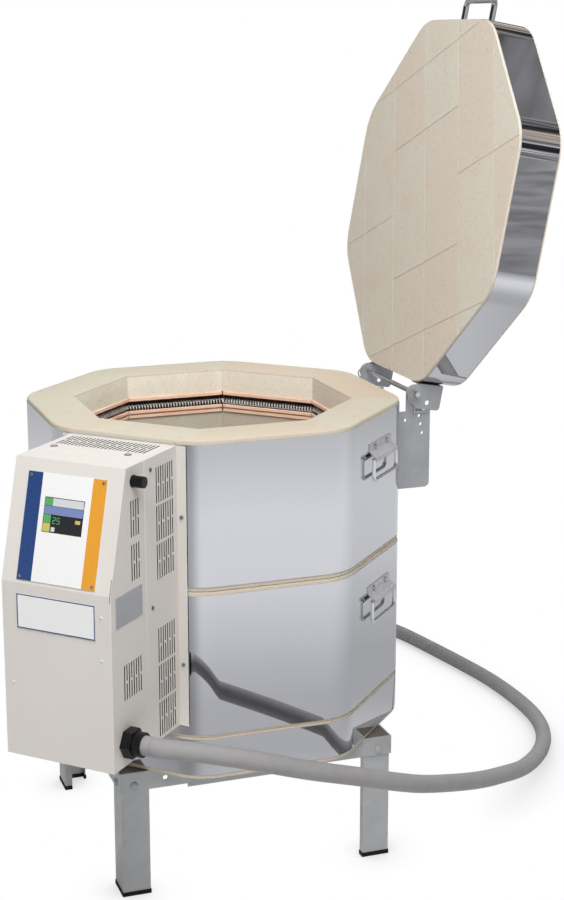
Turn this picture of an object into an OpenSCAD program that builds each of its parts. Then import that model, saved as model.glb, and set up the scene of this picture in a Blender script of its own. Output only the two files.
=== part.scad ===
// Top-loading electric kiln: an octagonal chamber of two brick sections on a stand, with a hinged lid,
// drop handles, a control box and a power conduit. Millimetres, +Z up, floor at Z = 0, hinge at +Y.

/* [Body] */
// Width across flats over the stainless wrap
body_af = 568; // [520:1:620]
// Thickness of the brick wall
wall = 77; // [60:1:85]
// Height of one brick section
section_h = 228.6; // [200:0.1:240]
// Thickness of the floor slab
slab_h = 67; // [55:1:80]
// Thickness of the stainless wrap
wrap_t = 0.8; // [0.5:0.1:1.2]
// Brick left bare above and below each wrap
bare_h = 6.5; // [4:0.5:9]
// Bend radius of the wrap's corners
corner_r = 80; // [60:1:90]

/* [Lid] */
// Thickness of the lid slab
lid_h = 72; // [60:1:85]
// How much wider the lid is than the body
lid_over = 6; // [0:1:12]
// How much further the lid reaches at its hinge side
lid_tail = 9; // [0:1:10]
// Angle that the lid stands open at, as drawn
lid_open = 100.5; // [95:0.5:105]
// Distance of the hinge rod behind the body's back face
rod_back = 29; // [27:1:34]
// Diameter of the hinge rod
rod_d = 8; // [6:0.5:10]
// Distance between the outer faces of the two lid arms
arm_span = 198; // [150:1:210]
// Thickness of the hinge plates and arms
hinge_t = 3; // [2:0.5:4]

/* [Stand] */
// Height of the floor slab above the floor
stand_h = 204; // [150:1:260]
// Outer width of the square stand frame
stand_w = 447; // [420:1:470]
// Height of the frame's strips
strip_h = 30; // [24:1:40]
// Thickness of the frame's strips
strip_t = 2.5; // [2:0.5:4]
// Width of a leg's channel along the strip
leg_w = 44; // [36:1:55]
// Depth of a leg's channel
leg_d = 46; // [36:1:55]
// Sheet thickness of a leg
leg_t = 2; // [1.5:0.5:3]
// Diameter of the stand bolts
bolt_d = 8; // [6:1:10]

/* [Elements] */
// Height of a ceramic element holder
holder_h = 35; // [30:1:42]
// Depth of a holder
holder_depth = 25; // [22:1:30]
// How far a holder stands proud of the brick
holder_proud = 3; // [0:0.5:6]
// Mean radius of an element's coil
coil_r = 5; // [4:0.25:6]
// Diameter of the element wire
wire_d = 2; // [1.5:0.1:2.4]
// Curls on one side of the chamber
side_curls = 10; // [6:1:10]

/* [Control box] */
// Width of the control box
box_w = 178; // [165:1:190]
// Height of the control box
box_h = 430; // [405:1:435]
// Depth of the rear terminal box
rear_d = 95; // [85:1:110]
// Depth from the body to the top of the sloping front
top_d = 147; // [140:1:160]
// Depth from the body to the upright front
front_d = 195; // [185:1:215]
// Height of the bend in the front above the bottom
bend_h = 260; // [245:1:270]
// Sheet thickness of both boxes
sheet_t = 1.4; // [1:0.1:2]
// Diameter of the power conduit
conduit_d = 28; // [24:1:30]

/* [Handles] */
// Length of a drop handle's bracket
drop_w = 86; // [70:1:110]
// Diameter of a drop handle's bail
bail_d = 6; // [5:0.5:7]
// Drop of a bail below its pivot
bail_drop = 33; // [30:1:50]
// Distance between the lid handle's posts
grip_w = 100; // [80:1:120]
// Diameter of the lid handle's bar
grip_d = 10; // [8:1:12]

/* [Hidden] */
$fn = 48;
gap = 0.4;
fit = 0.05;
eps = 0.01;
octant = 45;
tan_half = tan(octant / 2);
face = body_af / 2;
slab_top = stand_h + slab_h;
rim = slab_top + 2 * section_h;
brick_af = body_af - 2 * wrap_t - gap;
chamber_r = face - wall;
lid_af = body_af + lid_over;
lid_back = lid_af / 2 + lid_tail;
lid_seat = rim + gap;
rod_y = face + rod_back;
rod_z = rim + 1.2;

// Element rows below a section's top, and where the coils run
row_drops = [171.5, 57];
holder_in = chamber_r - holder_proud;
lip = 3;
cavity = 2 * coil_r + wire_d + 4;
holder_back = holder_in + holder_depth;
coil_at = holder_in + lip + cavity / 2;
tail_u = 25;
tail_out = 26;
bushing_d = 10;
bushing_bore = wire_d + 2;
bushing_out = 14;
probe_u = 62;
probe_d = 13;
probe_in = 30;

// Faces by the angle of their outward normal
box_face = -45;
handle_faces = [45, 225];
hinge_face = 90;
box_top = rim - 8;
box_z = box_top - box_h;
panel_t = 1.4;
flange_w = 15;
seam = 0.2;
front_start = rear_d + panel_t + 2 * seam;
slope = atan((front_d - top_d) / (box_h - bend_h));
slope_len = (box_h - bend_h) / cos(slope);
overlay_w = 128;
overlay_h = 153;
overlay_low = 5;
overlay_t = 1.2;
screen_w = 65;
screen_h = 49.5;
screen_low = 75.5;
fuse_d = 128;
fuse_z = box_top - 22;
fuse_body = 14;
fuse_flange = 18;
fuse_cap_d = 16.5;
fuse_cap_long = 15.5;
fuse_flange_t = 3;
gland_d = front_d - 37;
gland_z = box_z + 35;
gland_af = 39;
gland_long = 28;

// Fasteners
screw_d = 4;
screw_head = 8;
screw_long = 14;
flange_screw_z = [rim - 342, rim - 115];
plate_screw_z = [rim - 130, rim - 85, rim - 40];
plate_in = 30;
plate_screw_u = arm_span / 2 - hinge_t - plate_in / 2 - 3;
drop_u = 16;
drop_below = 45;
drop_pad = 10;
drop_slope = 12;
bail_off = 9.5;
barrel_t = 1.8;
drop_screw_u = 24;
strip_bolt = 22;
strip_hole_in = 72;
bolt_drop = 21;

// Conduit route from the gland, in round numbers. Its first and last three points lie in line with a fitting.
function gland_at(u) = [
    cos(box_face) * (face + gland_d) - sin(box_face) * u,
    sin(box_face) * (face + gland_d) + cos(box_face) * u,
    gland_z
];
conduit_start = box_w / 2 + gland_long;
conduit_route = [
    gland_at(conduit_start), gland_at(conduit_start + conduit_d / 2), gland_at(conduit_start + conduit_d),
    [432, -155, 318], [440, -85, 300], [424, 5, 265], [392, 100, 226], [358, 180, 190], [316, 250, 158],
    [228, 372, 106], [152, 465, 70], [88, 536, 44], [12, 606, 26], [-66, 660, 16], [-140, 690, 15],
    [-220, 702, 15], [-320, 702, 15], [-412, 692, 15], [-570, 662, 15], [-672, 638, 15], [-735, 608, 16],
    [-775, 560, 20], [-790, 500, 26], [-790, 485, 26], [-790, 470, 26]
];
plug_end = conduit_route[len(conduit_route) - 1];

// Outlines

// Octagon with rounded corners, flats facing the axes, and its +Y flat moved out by the tail
function rounded_octagon(af, r, tail = 0) = [
    for (k = [0:7], i = [0:6])
        let (mid = octant * (k + 0.5), c = (af / 2 - r) / cos(octant / 2), a = octant * k + 7.5 * i,
            shift = k == 1 ? [-tail, tail] : k == 2 ? [tail, tail] : [0, 0])
        shift + [c * cos(mid) + r * cos(a), c * sin(mid) + r * sin(a)]
];

// Plan of one wall brick between two mitres, facing +X
function brick_plan(inner, outer, r) = let (
    c = outer - r,
    half = [for (i = [0:3]) let (a = 7.5 * i)
        [c + r * cos(a), c * tan_half + r * sin(a) - (i == 3 ? gap : 0)]]
) concat(
    [[inner, -(inner * tan_half - gap)]],
    [for (i = [3:-1:0]) [half[i].x, -half[i].y]],
    half,
    [[inner, inner * tan_half - gap]]
);

// Swept tubes: rings of points round a list of [place, radial direction, radius]
function unit(v) = v / norm(v);
function tangent(line, i) =
    unit(line[min(i + 1, len(line) - 1)][0] - line[max(i - 1, 0)][0]);
function ring(line, i, sides) = let (
    t = tangent(line, i),
    r = unit(line[i][1] - t * (line[i][1] * t)),
    s = cross(t, r)
) [for (k = [0:sides - 1]) line[i][0] + line[i][2] * (cos(360 * k / sides) * r + sin(360 * k / sides) * s)];

module tube(line, sides) {
    n = len(line);
    points = [for (i = [0:n - 1]) each ring(line, i, sides)];
    walls = [for (i = [0:n - 2], k = [0:sides - 1]) let (
        a = i * sides + k,
        b = i * sides + (k + 1) % sides
    ) each [[a, a + sides, b], [b, a + sides, b + sides]]];
    low = [for (k = [1:sides - 2]) [0, k, k + 1]];
    top = (n - 1) * sides;
    high = [for (k = [1:sides - 2]) [top, top + k + 1, top + k]];
    polyhedron(points, concat(walls, low, high));
}

// Smooth curve through a list of points
function bend(p, i, f) = let (
    a = p[max(i - 1, 0)], b = p[i], c = p[i + 1], d = p[min(i + 2, len(p) - 1)]
) b + 0.5 * f * (c - a + f * (2 * a - 5 * b + 4 * c - d + f * (3 * (b - c) + d - a)));

// Placing

module on_face(angle) rotate([0, 0, angle]) translate([face, 0, 0]) children();

module outward() rotate([0, 90, 0]) children();

module screw(head = screw_head, long = screw_long, shank = screw_d) {
    outward() cylinder(d = head, h = 3);
    outward() translate([0, 0, -long]) cylinder(d = shank, h = long + eps);
}

module screw_hole(long = screw_long, shank = screw_d)
    outward() translate([0, 0, -long - gap]) cylinder(d = shank + gap, h = long + 8);

module lid_frame(swing = lid_open)
    translate([0, rod_y, rod_z]) rotate([-swing, 0, 0]) translate([0, -rod_y, -rod_z]) children();

function row_z(section, row) = slab_top + section_h * (section + 1) - row_drops[row];
function section_top(section) = slab_top + section_h * (section + 1);

// Stand

module stand_bolt_places()
    for (sx = [-1, 1], sy = [-1, 1]) {
        translate([sx * stand_w / 2, sy * (stand_w / 2 - strip_bolt), stand_h - bolt_drop])
            rotate([0, 0, sx > 0 ? 0 : 180]) children();
        translate([sx * (stand_w / 2 - strip_bolt), sy * stand_w / 2, stand_h - bolt_drop])
            rotate([0, 0, sy * 90]) children();
    }

module stand_frame() color("#9a9c9d") difference() {
    translate([-stand_w / 2, -stand_w / 2, stand_h - strip_h]) cube([stand_w, stand_w, strip_h]);
    translate([-stand_w / 2 + strip_t, -stand_w / 2 + strip_t, stand_h - strip_h - 1])
        cube([stand_w - 2 * strip_t, stand_w - 2 * strip_t, strip_h + 2]);
    stand_bolt_places() outward() translate([0, 0, -strip_t - 1]) cylinder(d = bolt_d + gap, h = strip_t + 2);
    for (sx = [-1, 1], sy = [-1, 1])
        translate([sx * stand_w / 2, sy * (stand_w / 2 - strip_hole_in), stand_h - strip_h / 2])
            outward() translate([0, 0, -strip_t - 1]) cylinder(d = bolt_d, h = 2 * strip_t + 2);
}

// Channel with a wide and a narrow flange, outer corner at the origin, spreading to -X and -Y
module channel(grow = 0) {
    t = leg_t + 2 * grow;
    translate([grow - t, -leg_w - grow]) square([t, leg_w + 2 * grow]);
    translate([-leg_d - grow, grow - t]) square([leg_d + 2 * grow, t]);
    translate([-leg_lip - grow, -leg_w - grow]) square([leg_lip + 2 * grow, t]);
    translate([-leg_d - grow, -leg_lip]) square([t, leg_lip + grow]);
}

leg_corner = stand_w / 2 - strip_t - 0.1;
leg_lip = 12;
trim_t = 1;
trim_h = 7;
trim_base = 3;

module corners() for (sx = [0, 1], sy = [0, 1]) mirror([sx, 0, 0]) mirror([0, sy, 0])
    translate([leg_corner, leg_corner, 0]) children();

module legs() color("#9a9c9d") difference() {
    corners() translate([0, 0, trim_base + fit])
        linear_extrude(stand_h - 1 - trim_base - fit) channel();
    stand_bolt_places() outward() translate([0, 0, -strip_t - leg_t - 2]) cylinder(d = bolt_d + gap, h = 10);
}

module foot_trims() color("#1c1c1d") corners() difference() {
    linear_extrude(trim_h) channel(trim_t);
    translate([0, 0, trim_base]) linear_extrude(trim_h) channel(fit);
}

module stand_bolts() color("#c4c6c8") stand_bolt_places() {
    grip = strip_t + leg_t + 0.1;
    outward() cylinder(d = bolt_d * 1.6, h = 5);
    outward() translate([0, 0, -grip - 10]) cylinder(d = bolt_d, h = grip + 10 + eps);
    outward() translate([0, 0, -grip - 6]) cylinder(d = bolt_d * 1.7, h = 6);
}

module slab_pan() color("#9a9c9d") {
    pan_w = 230;
    pan_t = 1.5;
    pan_drop = strip_h + 7;
    half = stand_w / 2 - strip_t - 0.1;
    translate([-half, -pan_w / 2, stand_h - pan_t]) cube([2 * half, pan_w, pan_t]);
    for (x = [-half, half - pan_t]) translate([x, -pan_w / 2, stand_h - pan_drop])
        cube([pan_t, pan_w, pan_drop]);
}

// Body

module floor_slab() color("#d8ceb4") translate([0, 0, stand_h])
    linear_extrude(slab_h - gap) polygon(rounded_octagon(brick_af, corner_r - wrap_t));

module wrap(low, high) translate([0, 0, low + bare_h]) linear_extrude(high - low - 2 * bare_h) difference() {
    polygon(rounded_octagon(body_af, corner_r));
    polygon(rounded_octagon(body_af - 2 * wrap_t, corner_r - wrap_t));
}

module floor_wrap() color("#b9bbc8") wrap(stand_h, slab_top);

// Everything that passes through or into one section's wall
module wall_cuts(section) {
    for (row = [0, 1], u = [-tail_u, tail_u])
        on_face(box_face) translate([-wall, u, row_z(section, row) + coil_r])
            outward() cylinder(d = bushing_d + gap, h = wall + 2);
    on_face(box_face) translate([-wall - 1, probe_u, section_top(section) - section_h / 2])
        outward() cylinder(d = probe_d + gap, h = wall + 3);
    for (u = [-1, 1]) on_face(box_face)
        translate([0, u * (box_w + flange_w) / 2, flange_screw_z[section]]) screw_hole();
    for (a = handle_faces, u = [-drop_screw_u, drop_screw_u])
        on_face(a) translate([0, drop_u + u, section_top(section) - drop_below - drop_pad / 2]) screw_hole();
    if (section == 1) for (u = [-1, 1], z = plate_screw_z)
        on_face(hinge_face) translate([0, u * plate_screw_u, z]) screw_hole();
}

module bricks(section) difference() {
    for (k = [0:7]) rotate([0, 0, octant * k]) difference() {
        translate([0, 0, section_top(section) - section_h])
            linear_extrude(section_h - gap) polygon(brick_plan(chamber_r, brick_af / 2, corner_r - wrap_t));
        for (row = [0, 1]) translate([chamber_r - 1, -face, row_z(section, row) - holder_h / 2 - gap])
            cube([holder_back - chamber_r + 1 + gap, body_af, holder_h + 2 * gap]);
    }
    wall_cuts(section);
}

module lower_bricks() color("#d8ceb4") bricks(0);

module upper_bricks() color("#d8ceb4") bricks(1);

module section_wrap(section) difference() {
    wrap(section_top(section) - section_h, section_top(section));
    wall_cuts(section);
}

module lower_wrap() color("#b9bbc8") section_wrap(0);

module upper_wrap() color("#b9bbc8") section_wrap(1);

// Elements

module holders(section) for (row = [0, 1], k = [0:7]) difference() {
    rotate([0, 0, octant * k]) translate([0, 0, row_z(section, row) - holder_h / 2]) linear_extrude(holder_h)
        polygon([[holder_in, -holder_in * tan_half + gap], [holder_back, -holder_back * tan_half + gap],
            [holder_back, holder_back * tan_half - gap], [holder_in, holder_in * tan_half - gap]]);
    rotate([0, 0, octant * k]) translate([holder_in + lip, -face, row_z(section, row) - cavity / 2])
        cube([cavity, body_af, cavity]);
    rotate([0, 0, octant * k]) translate([holder_in - 1, -face, row_z(section, row) - coil_r])
        cube([lip + 2, body_af, coil_r + cavity / 2]);
    for (u = [-tail_u, tail_u]) on_face(box_face)
        translate([holder_back - face - 8, u, row_z(section, row) + coil_r])
            outward() cylinder(d = bushing_bore, h = 10);
}

module lower_holders() color("#e1b9a0") holders(0);

module upper_holders() color("#e1b9a0") holders(1);

// Corners of the coil's path, from one tail round the chamber to the other, facing the control box
side_half = coil_at * tan_half;
path_stops = concat(
    [[coil_at, tail_u]],
    [for (k = [0:7]) [coil_at * cos(octant * k) - side_half * sin(octant * k),
        coil_at * sin(octant * k) + side_half * cos(octant * k)]],
    [[coil_at, -tail_u]]
);
short_curls = round(side_curls * (side_half - tail_u) / (2 * side_half));

// One unbroken wire: a tail, the curls of every side and the other tail
function curls(z) = [for (s = [0:8]) let (
    n = 8 * (s == 0 || s == 8 ? short_curls : side_curls),
    out = [cos(octant * s), sin(octant * s), 0]
) each [for (i = [0:n - 1]) let (
    f = i / n,
    at = path_stops[s] * (1 - f) + path_stops[s + 1] * f,
    away = cos(90 + octant * i) * out + [0, 0, sin(90 + octant * i)]
) [[at.x, at.y, z] + coil_r * away, away, wire_d / 2]]];

function tail(u, z, r) = [[[face + tail_out, u, z], [0, 0, 1], r], [[coil_at + coil_r, u, z], [0, 0, 1], r]];
function reversed(list) = [for (i = [len(list) - 1:-1:0]) list[i]];

function coiled(z) = concat(
    tail(tail_u, z + coil_r, wire_d / 2),
    curls(z),
    [[[coil_at, -tail_u, z + coil_r], [0, 0, 1], wire_d / 2]],
    reversed(tail(-tail_u, z + coil_r, wire_d / 2))
);

function plain(z) = concat(
    tail(tail_u, z + coil_r, wire_d / 2),
    [[[coil_at, tail_u, z + coil_r], [0, 0, 1], wire_d / 2]],
    [[[coil_at, tail_u + 4, z], [0, 0, 1], coil_r]],
    [for (k = [1:8]) [[path_stops[k].x, path_stops[k].y, z], [0, 0, 1], coil_r]],
    [[[coil_at, -tail_u - 4, z], [0, 0, 1], coil_r]],
    [[[coil_at, -tail_u, z + coil_r], [0, 0, 1], wire_d / 2]],
    reversed(tail(-tail_u, z + coil_r, wire_d / 2))
);

module element_1() color("#6b5f57") rotate([0, 0, box_face]) tube(plain(row_z(0, 0)), 8);

module element_2() color("#6b5f57") rotate([0, 0, box_face]) tube(plain(row_z(0, 1)), 8);

module element_3() color("#6b5f57") rotate([0, 0, box_face]) tube(plain(row_z(1, 0)), 8);

module element_4() {
    wire = coiled(row_z(1, 1));
    spans = [for (i = [2:len(wire) - 3], j = [i + 5:min(i + 12, len(wire) - 1)])
        norm(wire[i][0] - wire[j][0])];
    echo(least_gap_in_coil = min(spans) - wire_d);
    color("#6b5f57") rotate([0, 0, box_face]) tube(wire, 6);
}

module bushings() color("#e9e3d6") for (section = [0, 1], row = [0, 1], u = [-tail_u, tail_u])
    on_face(box_face) translate([holder_back - face + gap, u, row_z(section, row) + coil_r])
    outward() difference() {
        cylinder(d = bushing_d, h = face - holder_back + bushing_out - gap);
        translate([0, 0, -1]) cylinder(d = bushing_bore, h = wall + bushing_out);
    }

module terminals() color("#b8964c") for (section = [0, 1], row = [0, 1], u = [-tail_u, tail_u])
    on_face(box_face) translate([bushing_out, u, row_z(section, row) + coil_r]) outward() difference() {
        cylinder(d = bushing_d - 1, h = tail_out - bushing_out + 4);
        translate([0, 0, -1]) cylinder(d = wire_d + 0.5, h = tail_out - bushing_out + 1.5);
    }

module thermocouples() color("#e9e3d6") for (section = [0, 1])
    on_face(box_face) translate([0, probe_u, section_top(section) - section_h / 2]) {
        translate([-wall - probe_in, 0, 0]) outward() cylinder(d = probe_d, h = wall + probe_in + 2);
        translate([0.2, -14, -11]) cube([18, 28, 22]);
    }

// Lid, drawn closed and swung open

brick_w = 114.3;
joint_w = 1;
joint_deep = 0.7;
joint_turn = -22.5;

// Joints of the lid's bricks: columns turned from the hinge, with courses that shift by half a brick
module lid_joints()
    translate([0, 0, lid_seat - 1]) rotate([0, 0, joint_turn]) linear_extrude(1 + joint_deep) {
        for (k = [-2:2]) translate([k * brick_w - joint_w / 2, -lid_af]) square([joint_w, 2 * lid_af]);
        for (k = [-2, 2]) translate([-lid_af, k * brick_w - joint_w / 2]) square([2 * lid_af, joint_w]);
        for (k = [-1, 1]) translate([-brick_w, k * brick_w - joint_w / 2]) square([2 * brick_w, joint_w]);
        for (x = [-lid_af - brick_w, brick_w]) translate([x, -joint_w / 2]) square([lid_af, joint_w]);
    }

module lid_slab() color("#d8ceb4") lid_frame() difference() {
    translate([0, 0, lid_seat]) linear_extrude(lid_h)
        polygon(rounded_octagon(lid_af - 2 * wrap_t - gap, corner_r - wrap_t, lid_tail));
    lid_joints();
    lid_cuts();
}

module lid_band() color("#b9bbc8") lid_frame() difference() {
    translate([0, 0, lid_seat + bare_h]) linear_extrude(lid_h - 2 * bare_h) difference() {
        polygon(rounded_octagon(lid_af, corner_r, lid_tail));
        polygon(rounded_octagon(lid_af - 2 * wrap_t, corner_r - wrap_t, lid_tail));
    }
    lid_cuts();
}

lid_mid = lid_seat + lid_h / 2;
arm_flange = 34;
arm_screw_z = [lid_mid - 18, lid_mid + 4];
pad_t = 2;
handle_screw_u = grip_w / 2 - 14;

module lid_handle_places() translate([0, -lid_af / 2, lid_mid]) rotate([0, 0, -90]) children();

module arm_screw_places() for (u = [-1, 1], z = arm_screw_z)
    translate([u * (arm_span / 2 - hinge_t - arm_flange / 2 - 2), lid_back, z])
        rotate([0, 0, 90]) children();

module lid_cuts() {
    lid_handle_places() for (u = [-1, 1]) translate([0, u * handle_screw_u, 0]) screw_hole();
    arm_screw_places() screw_hole();
}

module lid_handle() color("#d4d6da") lid_frame() lid_handle_places() {
    reach = 36;
    corner = 10;
    difference() {
        translate([0, -grip_w / 2 - grip_d, -grip_d]) cube([pad_t, grip_w + 2 * grip_d, 2 * grip_d]);
        for (u = [-1, 1]) translate([0, u * handle_screw_u, 0]) screw_hole();
    }
    for (s = [0, 1]) mirror([0, s, 0]) {
        translate([0, grip_w / 2, 0]) outward() cylinder(d = grip_d, h = reach - corner);
        translate([reach - corner, grip_w / 2 - corner, 0])
            rotate_extrude(angle = 90) translate([corner, 0]) circle(d = grip_d);
        translate([reach, -eps, 0]) rotate([-90, 0, 0]) cylinder(d = grip_d, h = grip_w / 2 - corner + eps);
    }
}

module lid_handle_screws() color("#c4c6c8") lid_frame() lid_handle_places()
    for (u = [-1, 1]) translate([pad_t, u * handle_screw_u, 0]) screw(long = screw_long - pad_t, head = 7);

// Hinge

nose_r = 14;
arm_depth = 40;
arm_rise = 8;
arm_behind = 24;
arm_round = 6;
arm_x = arm_span / 2 - hinge_t;
plate_x = arm_x - gap - hinge_t;
arm_hole = 8;

module arm_plate() difference() {
    hull() {
        translate([rod_y, rod_z]) circle(nose_r);
        translate([lid_back + 0.1, lid_seat + arm_rise]) square([hinge_t, arm_depth]);
        for (z = [rod_z + arm_round, lid_seat + arm_rise + arm_depth - arm_round])
            translate([rod_y + arm_behind - arm_round, z]) circle(arm_round);
    }
    translate([rod_y, rod_z]) circle(d = rod_d + 2 * fit);
    translate([rod_y + 13, rod_z + 24]) circle(d = arm_hole);
}

module lid_arm() {
    translate([arm_x, 0, 0]) rotate([90, 0, 90]) linear_extrude(hinge_t) arm_plate();
    difference() {
        translate([arm_x - arm_flange, lid_back + 0.1, lid_seat + arm_rise])
            cube([arm_flange + hinge_t, hinge_t, arm_depth]);
        arm_screw_places() screw_hole();
    }
}

module lid_arm_right() color("#8f9193") lid_frame() lid_arm();

module lid_arm_left() color("#8f9193") mirror([1, 0, 0]) lid_frame() lid_arm();

module arm_screws() color("#c4c6c8") lid_frame() arm_screw_places()
    translate([hinge_t + 0.1, 0, 0]) screw(long = screw_long - hinge_t);

clip_wire = 2;
clip_leg = 1.6;
clip_legs = [[-2, 26], [3, 30]];
clip_x = arm_span / 2 + 5;
clip_r = 8;
clip_turn = 35;

// Holes for the clips' rings lie across the rod, square to the line to each ring's middle
module hinge_rod() color("#c4c6c8") difference() {
    translate([-clip_x - 5, rod_y, rod_z]) outward() cylinder(d = rod_d, h = 2 * clip_x + 10);
    for (x = [-clip_x, clip_x]) translate([x, rod_y, rod_z]) rotate([clip_turn, 0, 0])
        cylinder(d = clip_wire + 2.4, h = 2 * rod_d, center = true);
}

module hitch_clips() color("#b0b2b4") for (x = [-clip_x, clip_x])
    translate([x, rod_y - clip_r * cos(clip_turn), rod_z - clip_r * sin(clip_turn)]) {
        outward() rotate_extrude() translate([clip_r, 0]) circle(d = clip_wire);
        for (leg = clip_legs) translate([0, leg[0], -leg[1]])
            cylinder(d = clip_leg, h = leg[1] - clip_r + clip_wire / 4);
    }

plate_low = rim - 157;
plate_out = 57;
plate_round = 8;
tab_z = rod_z - arm_behind - 5.6;
plate_holes = [[14, 43], [38, 37], [41, 51], [44, 66]];
plate_hole_d = 5.5;

// Outline in the plane of the web: a rounded lower corner, and a nose round the rod
function arc(centre, r, from, to, steps) =
    [for (i = [0:steps]) let (a = from + (to - from) * i / steps) centre + r * [cos(a), sin(a)]];

module plate_web() difference() {
    near = face + 0.1;
    far = near + plate_out;
    polygon(concat(
        [[near, plate_low]],
        arc([far - plate_round, plate_low + plate_round], plate_round, -90, 0, 6),
        [[far, tab_z], [rod_y + nose_r, tab_z]],
        arc([rod_y, rod_z], nose_r, 0, 180, 20),
        [[rod_y - nose_r, tab_z], [near, tab_z]]
    ));
    translate([rod_y, rod_z]) circle(d = rod_d + 2 * fit);
    for (q = plate_holes) translate([face + q.x, rim - q.y]) circle(d = plate_hole_d);
}

module hinge_plate() {
    translate([plate_x, 0, 0]) rotate([90, 0, 90]) linear_extrude(hinge_t) plate_web();
    translate([plate_x, rod_y - 4, tab_z - hinge_t]) cube([2 * hinge_t + gap, plate_out - rod_back, hinge_t]);
    difference() {
        translate([plate_x - plate_in, face + 0.1, plate_low])
            cube([plate_in + hinge_t, hinge_t, rim - plate_low - 12]);
        for (z = plate_screw_z) on_face(hinge_face)
            translate([0, -plate_screw_u, z]) screw_hole();
    }
}

module hinge_plate_right() color("#8f9193") hinge_plate();

module hinge_plate_left() color("#8f9193") mirror([1, 0, 0]) hinge_plate();

module hinge_screws() color("#c4c6c8") for (u = [-1, 1], z = plate_screw_z) on_face(hinge_face)
    translate([hinge_t + 0.1, u * plate_screw_u, z]) screw(long = screw_long - hinge_t);

// Drop handles

pivot_drop = drop_below + drop_pad + drop_slope;

module drop_bracket() difference() {
    union() {
        rotate([90, 0, 0]) translate([0, 0, -drop_w / 2]) linear_extrude(drop_w) polygon([
            [0.1, -drop_below], [2.1, -drop_below], [2.1, -drop_below - drop_pad],
            [bail_off + 3, -pivot_drop + 2], [bail_off + 1, -pivot_drop], [0.1, -drop_below - drop_pad - 1]]);
        translate([bail_off, -drop_w / 2, -pivot_drop]) rotate([-90, 0, 0])
            cylinder(d = bail_d + 2 * barrel_t, h = drop_w);
    }
    translate([bail_off, -drop_w / 2 - 1, -pivot_drop]) rotate([-90, 0, 0])
        cylinder(d = bail_d + 2 * fit, h = drop_w + 2);
    for (u = [-drop_screw_u, drop_screw_u]) translate([0, u, -drop_below - drop_pad / 2]) screw_hole();
}

module drop_places() for (a = handle_faces, section = [0, 1])
    on_face(a) translate([0, drop_u, section_top(section)]) children();

module drop_brackets() color("#c4c6c8") drop_places() drop_bracket();

module drop_screws() color("#d4d6da") drop_places() for (u = [-drop_screw_u, drop_screw_u])
    translate([2.1, u, -drop_below - drop_pad / 2]) screw(long = screw_long - 2);

// Closed loop of round bar, its upper side in the bracket's barrel
module bail(angle, section) color("#d4d6da") on_face(angle) {
    r = 8;
    side = drop_w / 2 + bail_d / 2 + gap;
    top = section_top(section) - pivot_drop;
    translate([bail_off, drop_u, top]) rotate([90, 0, 90]) for (s = [0, 1]) mirror([s, 0, 0]) {
        translate([-eps, 0, 0]) rotate([0, 90, 0]) cylinder(d = bail_d, h = side + eps);
        translate([side, 0, 0]) sphere(d = bail_d);
        translate([side, 0, 0]) rotate([90, 0, 0]) cylinder(d = bail_d, h = bail_drop - r);
        translate([side - r, -bail_drop + r, 0]) rotate([0, 0, -90])
            rotate_extrude(angle = 90) translate([r, 0]) circle(d = bail_d);
        translate([-eps, -bail_drop, 0]) rotate([0, 90, 0]) cylinder(d = bail_d, h = side - r + eps);
    }
}

module bail_1() bail(handle_faces[0], 0);

module bail_2() bail(handle_faces[0], 1);

module bail_3() bail(handle_faces[1], 0);

module bail_4() bail(handle_faces[1], 1);

// Control box

vent_w = 2.6;
vent_h = 52.5;
vent_pitch = 6.65;
vent_bridge = 4;
rear_vent_d = 15.5;
rear_vent_row = 56.8;
rear_vents = [for (k = [0:2]) each [5.5 + k * rear_vent_row, box_h - 184.5 + k * rear_vent_row]];
front_vent_d = front_start + 18;
front_vents = [[8, 97], [4, bend_h + 5], [4, bend_h + 68.5]];
top_vents = 24;
top_vent_pitch = 6.26;
top_vent_h = 49;
top_vent_at = [13.5, -box_w / 2 + 13, box_h - sheet_t - 1];

// Outline of vent slots: columns at an even pitch, every second one with a bridge at its middle
module slots(columns, pitch, long) for (i = [0:columns - 1]) {
    half = (long - vent_bridge) / 2;
    for (span = i % 2 == 1 ? [[0, long]] : [[0, half], [half + vent_bridge, half]])
        translate([i * pitch - vent_w / 2, span[0]]) square([vent_w, span[1]]);
}

// Rows of slots through both sides, from the depth of their first column and their lower end
module side_vents(depth, columns, low) translate([depth, box_w, low]) rotate([90, 0, 0])
    linear_extrude(2 * box_w) slots(columns, vent_pitch, vent_h);

module terminal_box() color("#d2cdc8") on_face(box_face) translate([0, 0, box_z]) difference() {
    union() {
        difference() {
            translate([0.1, -box_w / 2, 0]) cube([rear_d - 0.1, box_w, box_h]);
            translate([-1, -box_w / 2 + sheet_t, sheet_t])
                cube([rear_d + 2, box_w - 2 * sheet_t, box_h - 2 * sheet_t]);
        }
        for (s = [0, 1]) mirror([0, s, 0])
            translate([0.1, box_w / 2 - eps, 0]) cube([sheet_t, flange_w + eps, box_h]);
    }
    for (z = rear_vents) side_vents(rear_vent_d, 8, z);
    translate(top_vent_at) mirror([1, -1, 0])
        linear_extrude(sheet_t + 2) slots(top_vents, top_vent_pitch, top_vent_h);
    for (s = [-1, 1], z = flange_screw_z)
        translate([0, s * (box_w + flange_w) / 2, z - box_z]) screw_hole();
    for (q = box_screw_list) translate([q.x, -box_w, q.y]) rotate([-90, 0, 0])
        cylinder(d = 3 + gap, h = 2 * box_w);
}

module flange_screws() color("#8f9193") for (s = [-1, 1], z = flange_screw_z) on_face(box_face)
    translate([sheet_t + 0.1, s * (box_w + flange_w) / 2, z]) screw(long = screw_long - sheet_t, head = 7);

box_screw_list = [for (z = [208.5, box_h - 17.5]) [rear_d - 16, z]];

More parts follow.
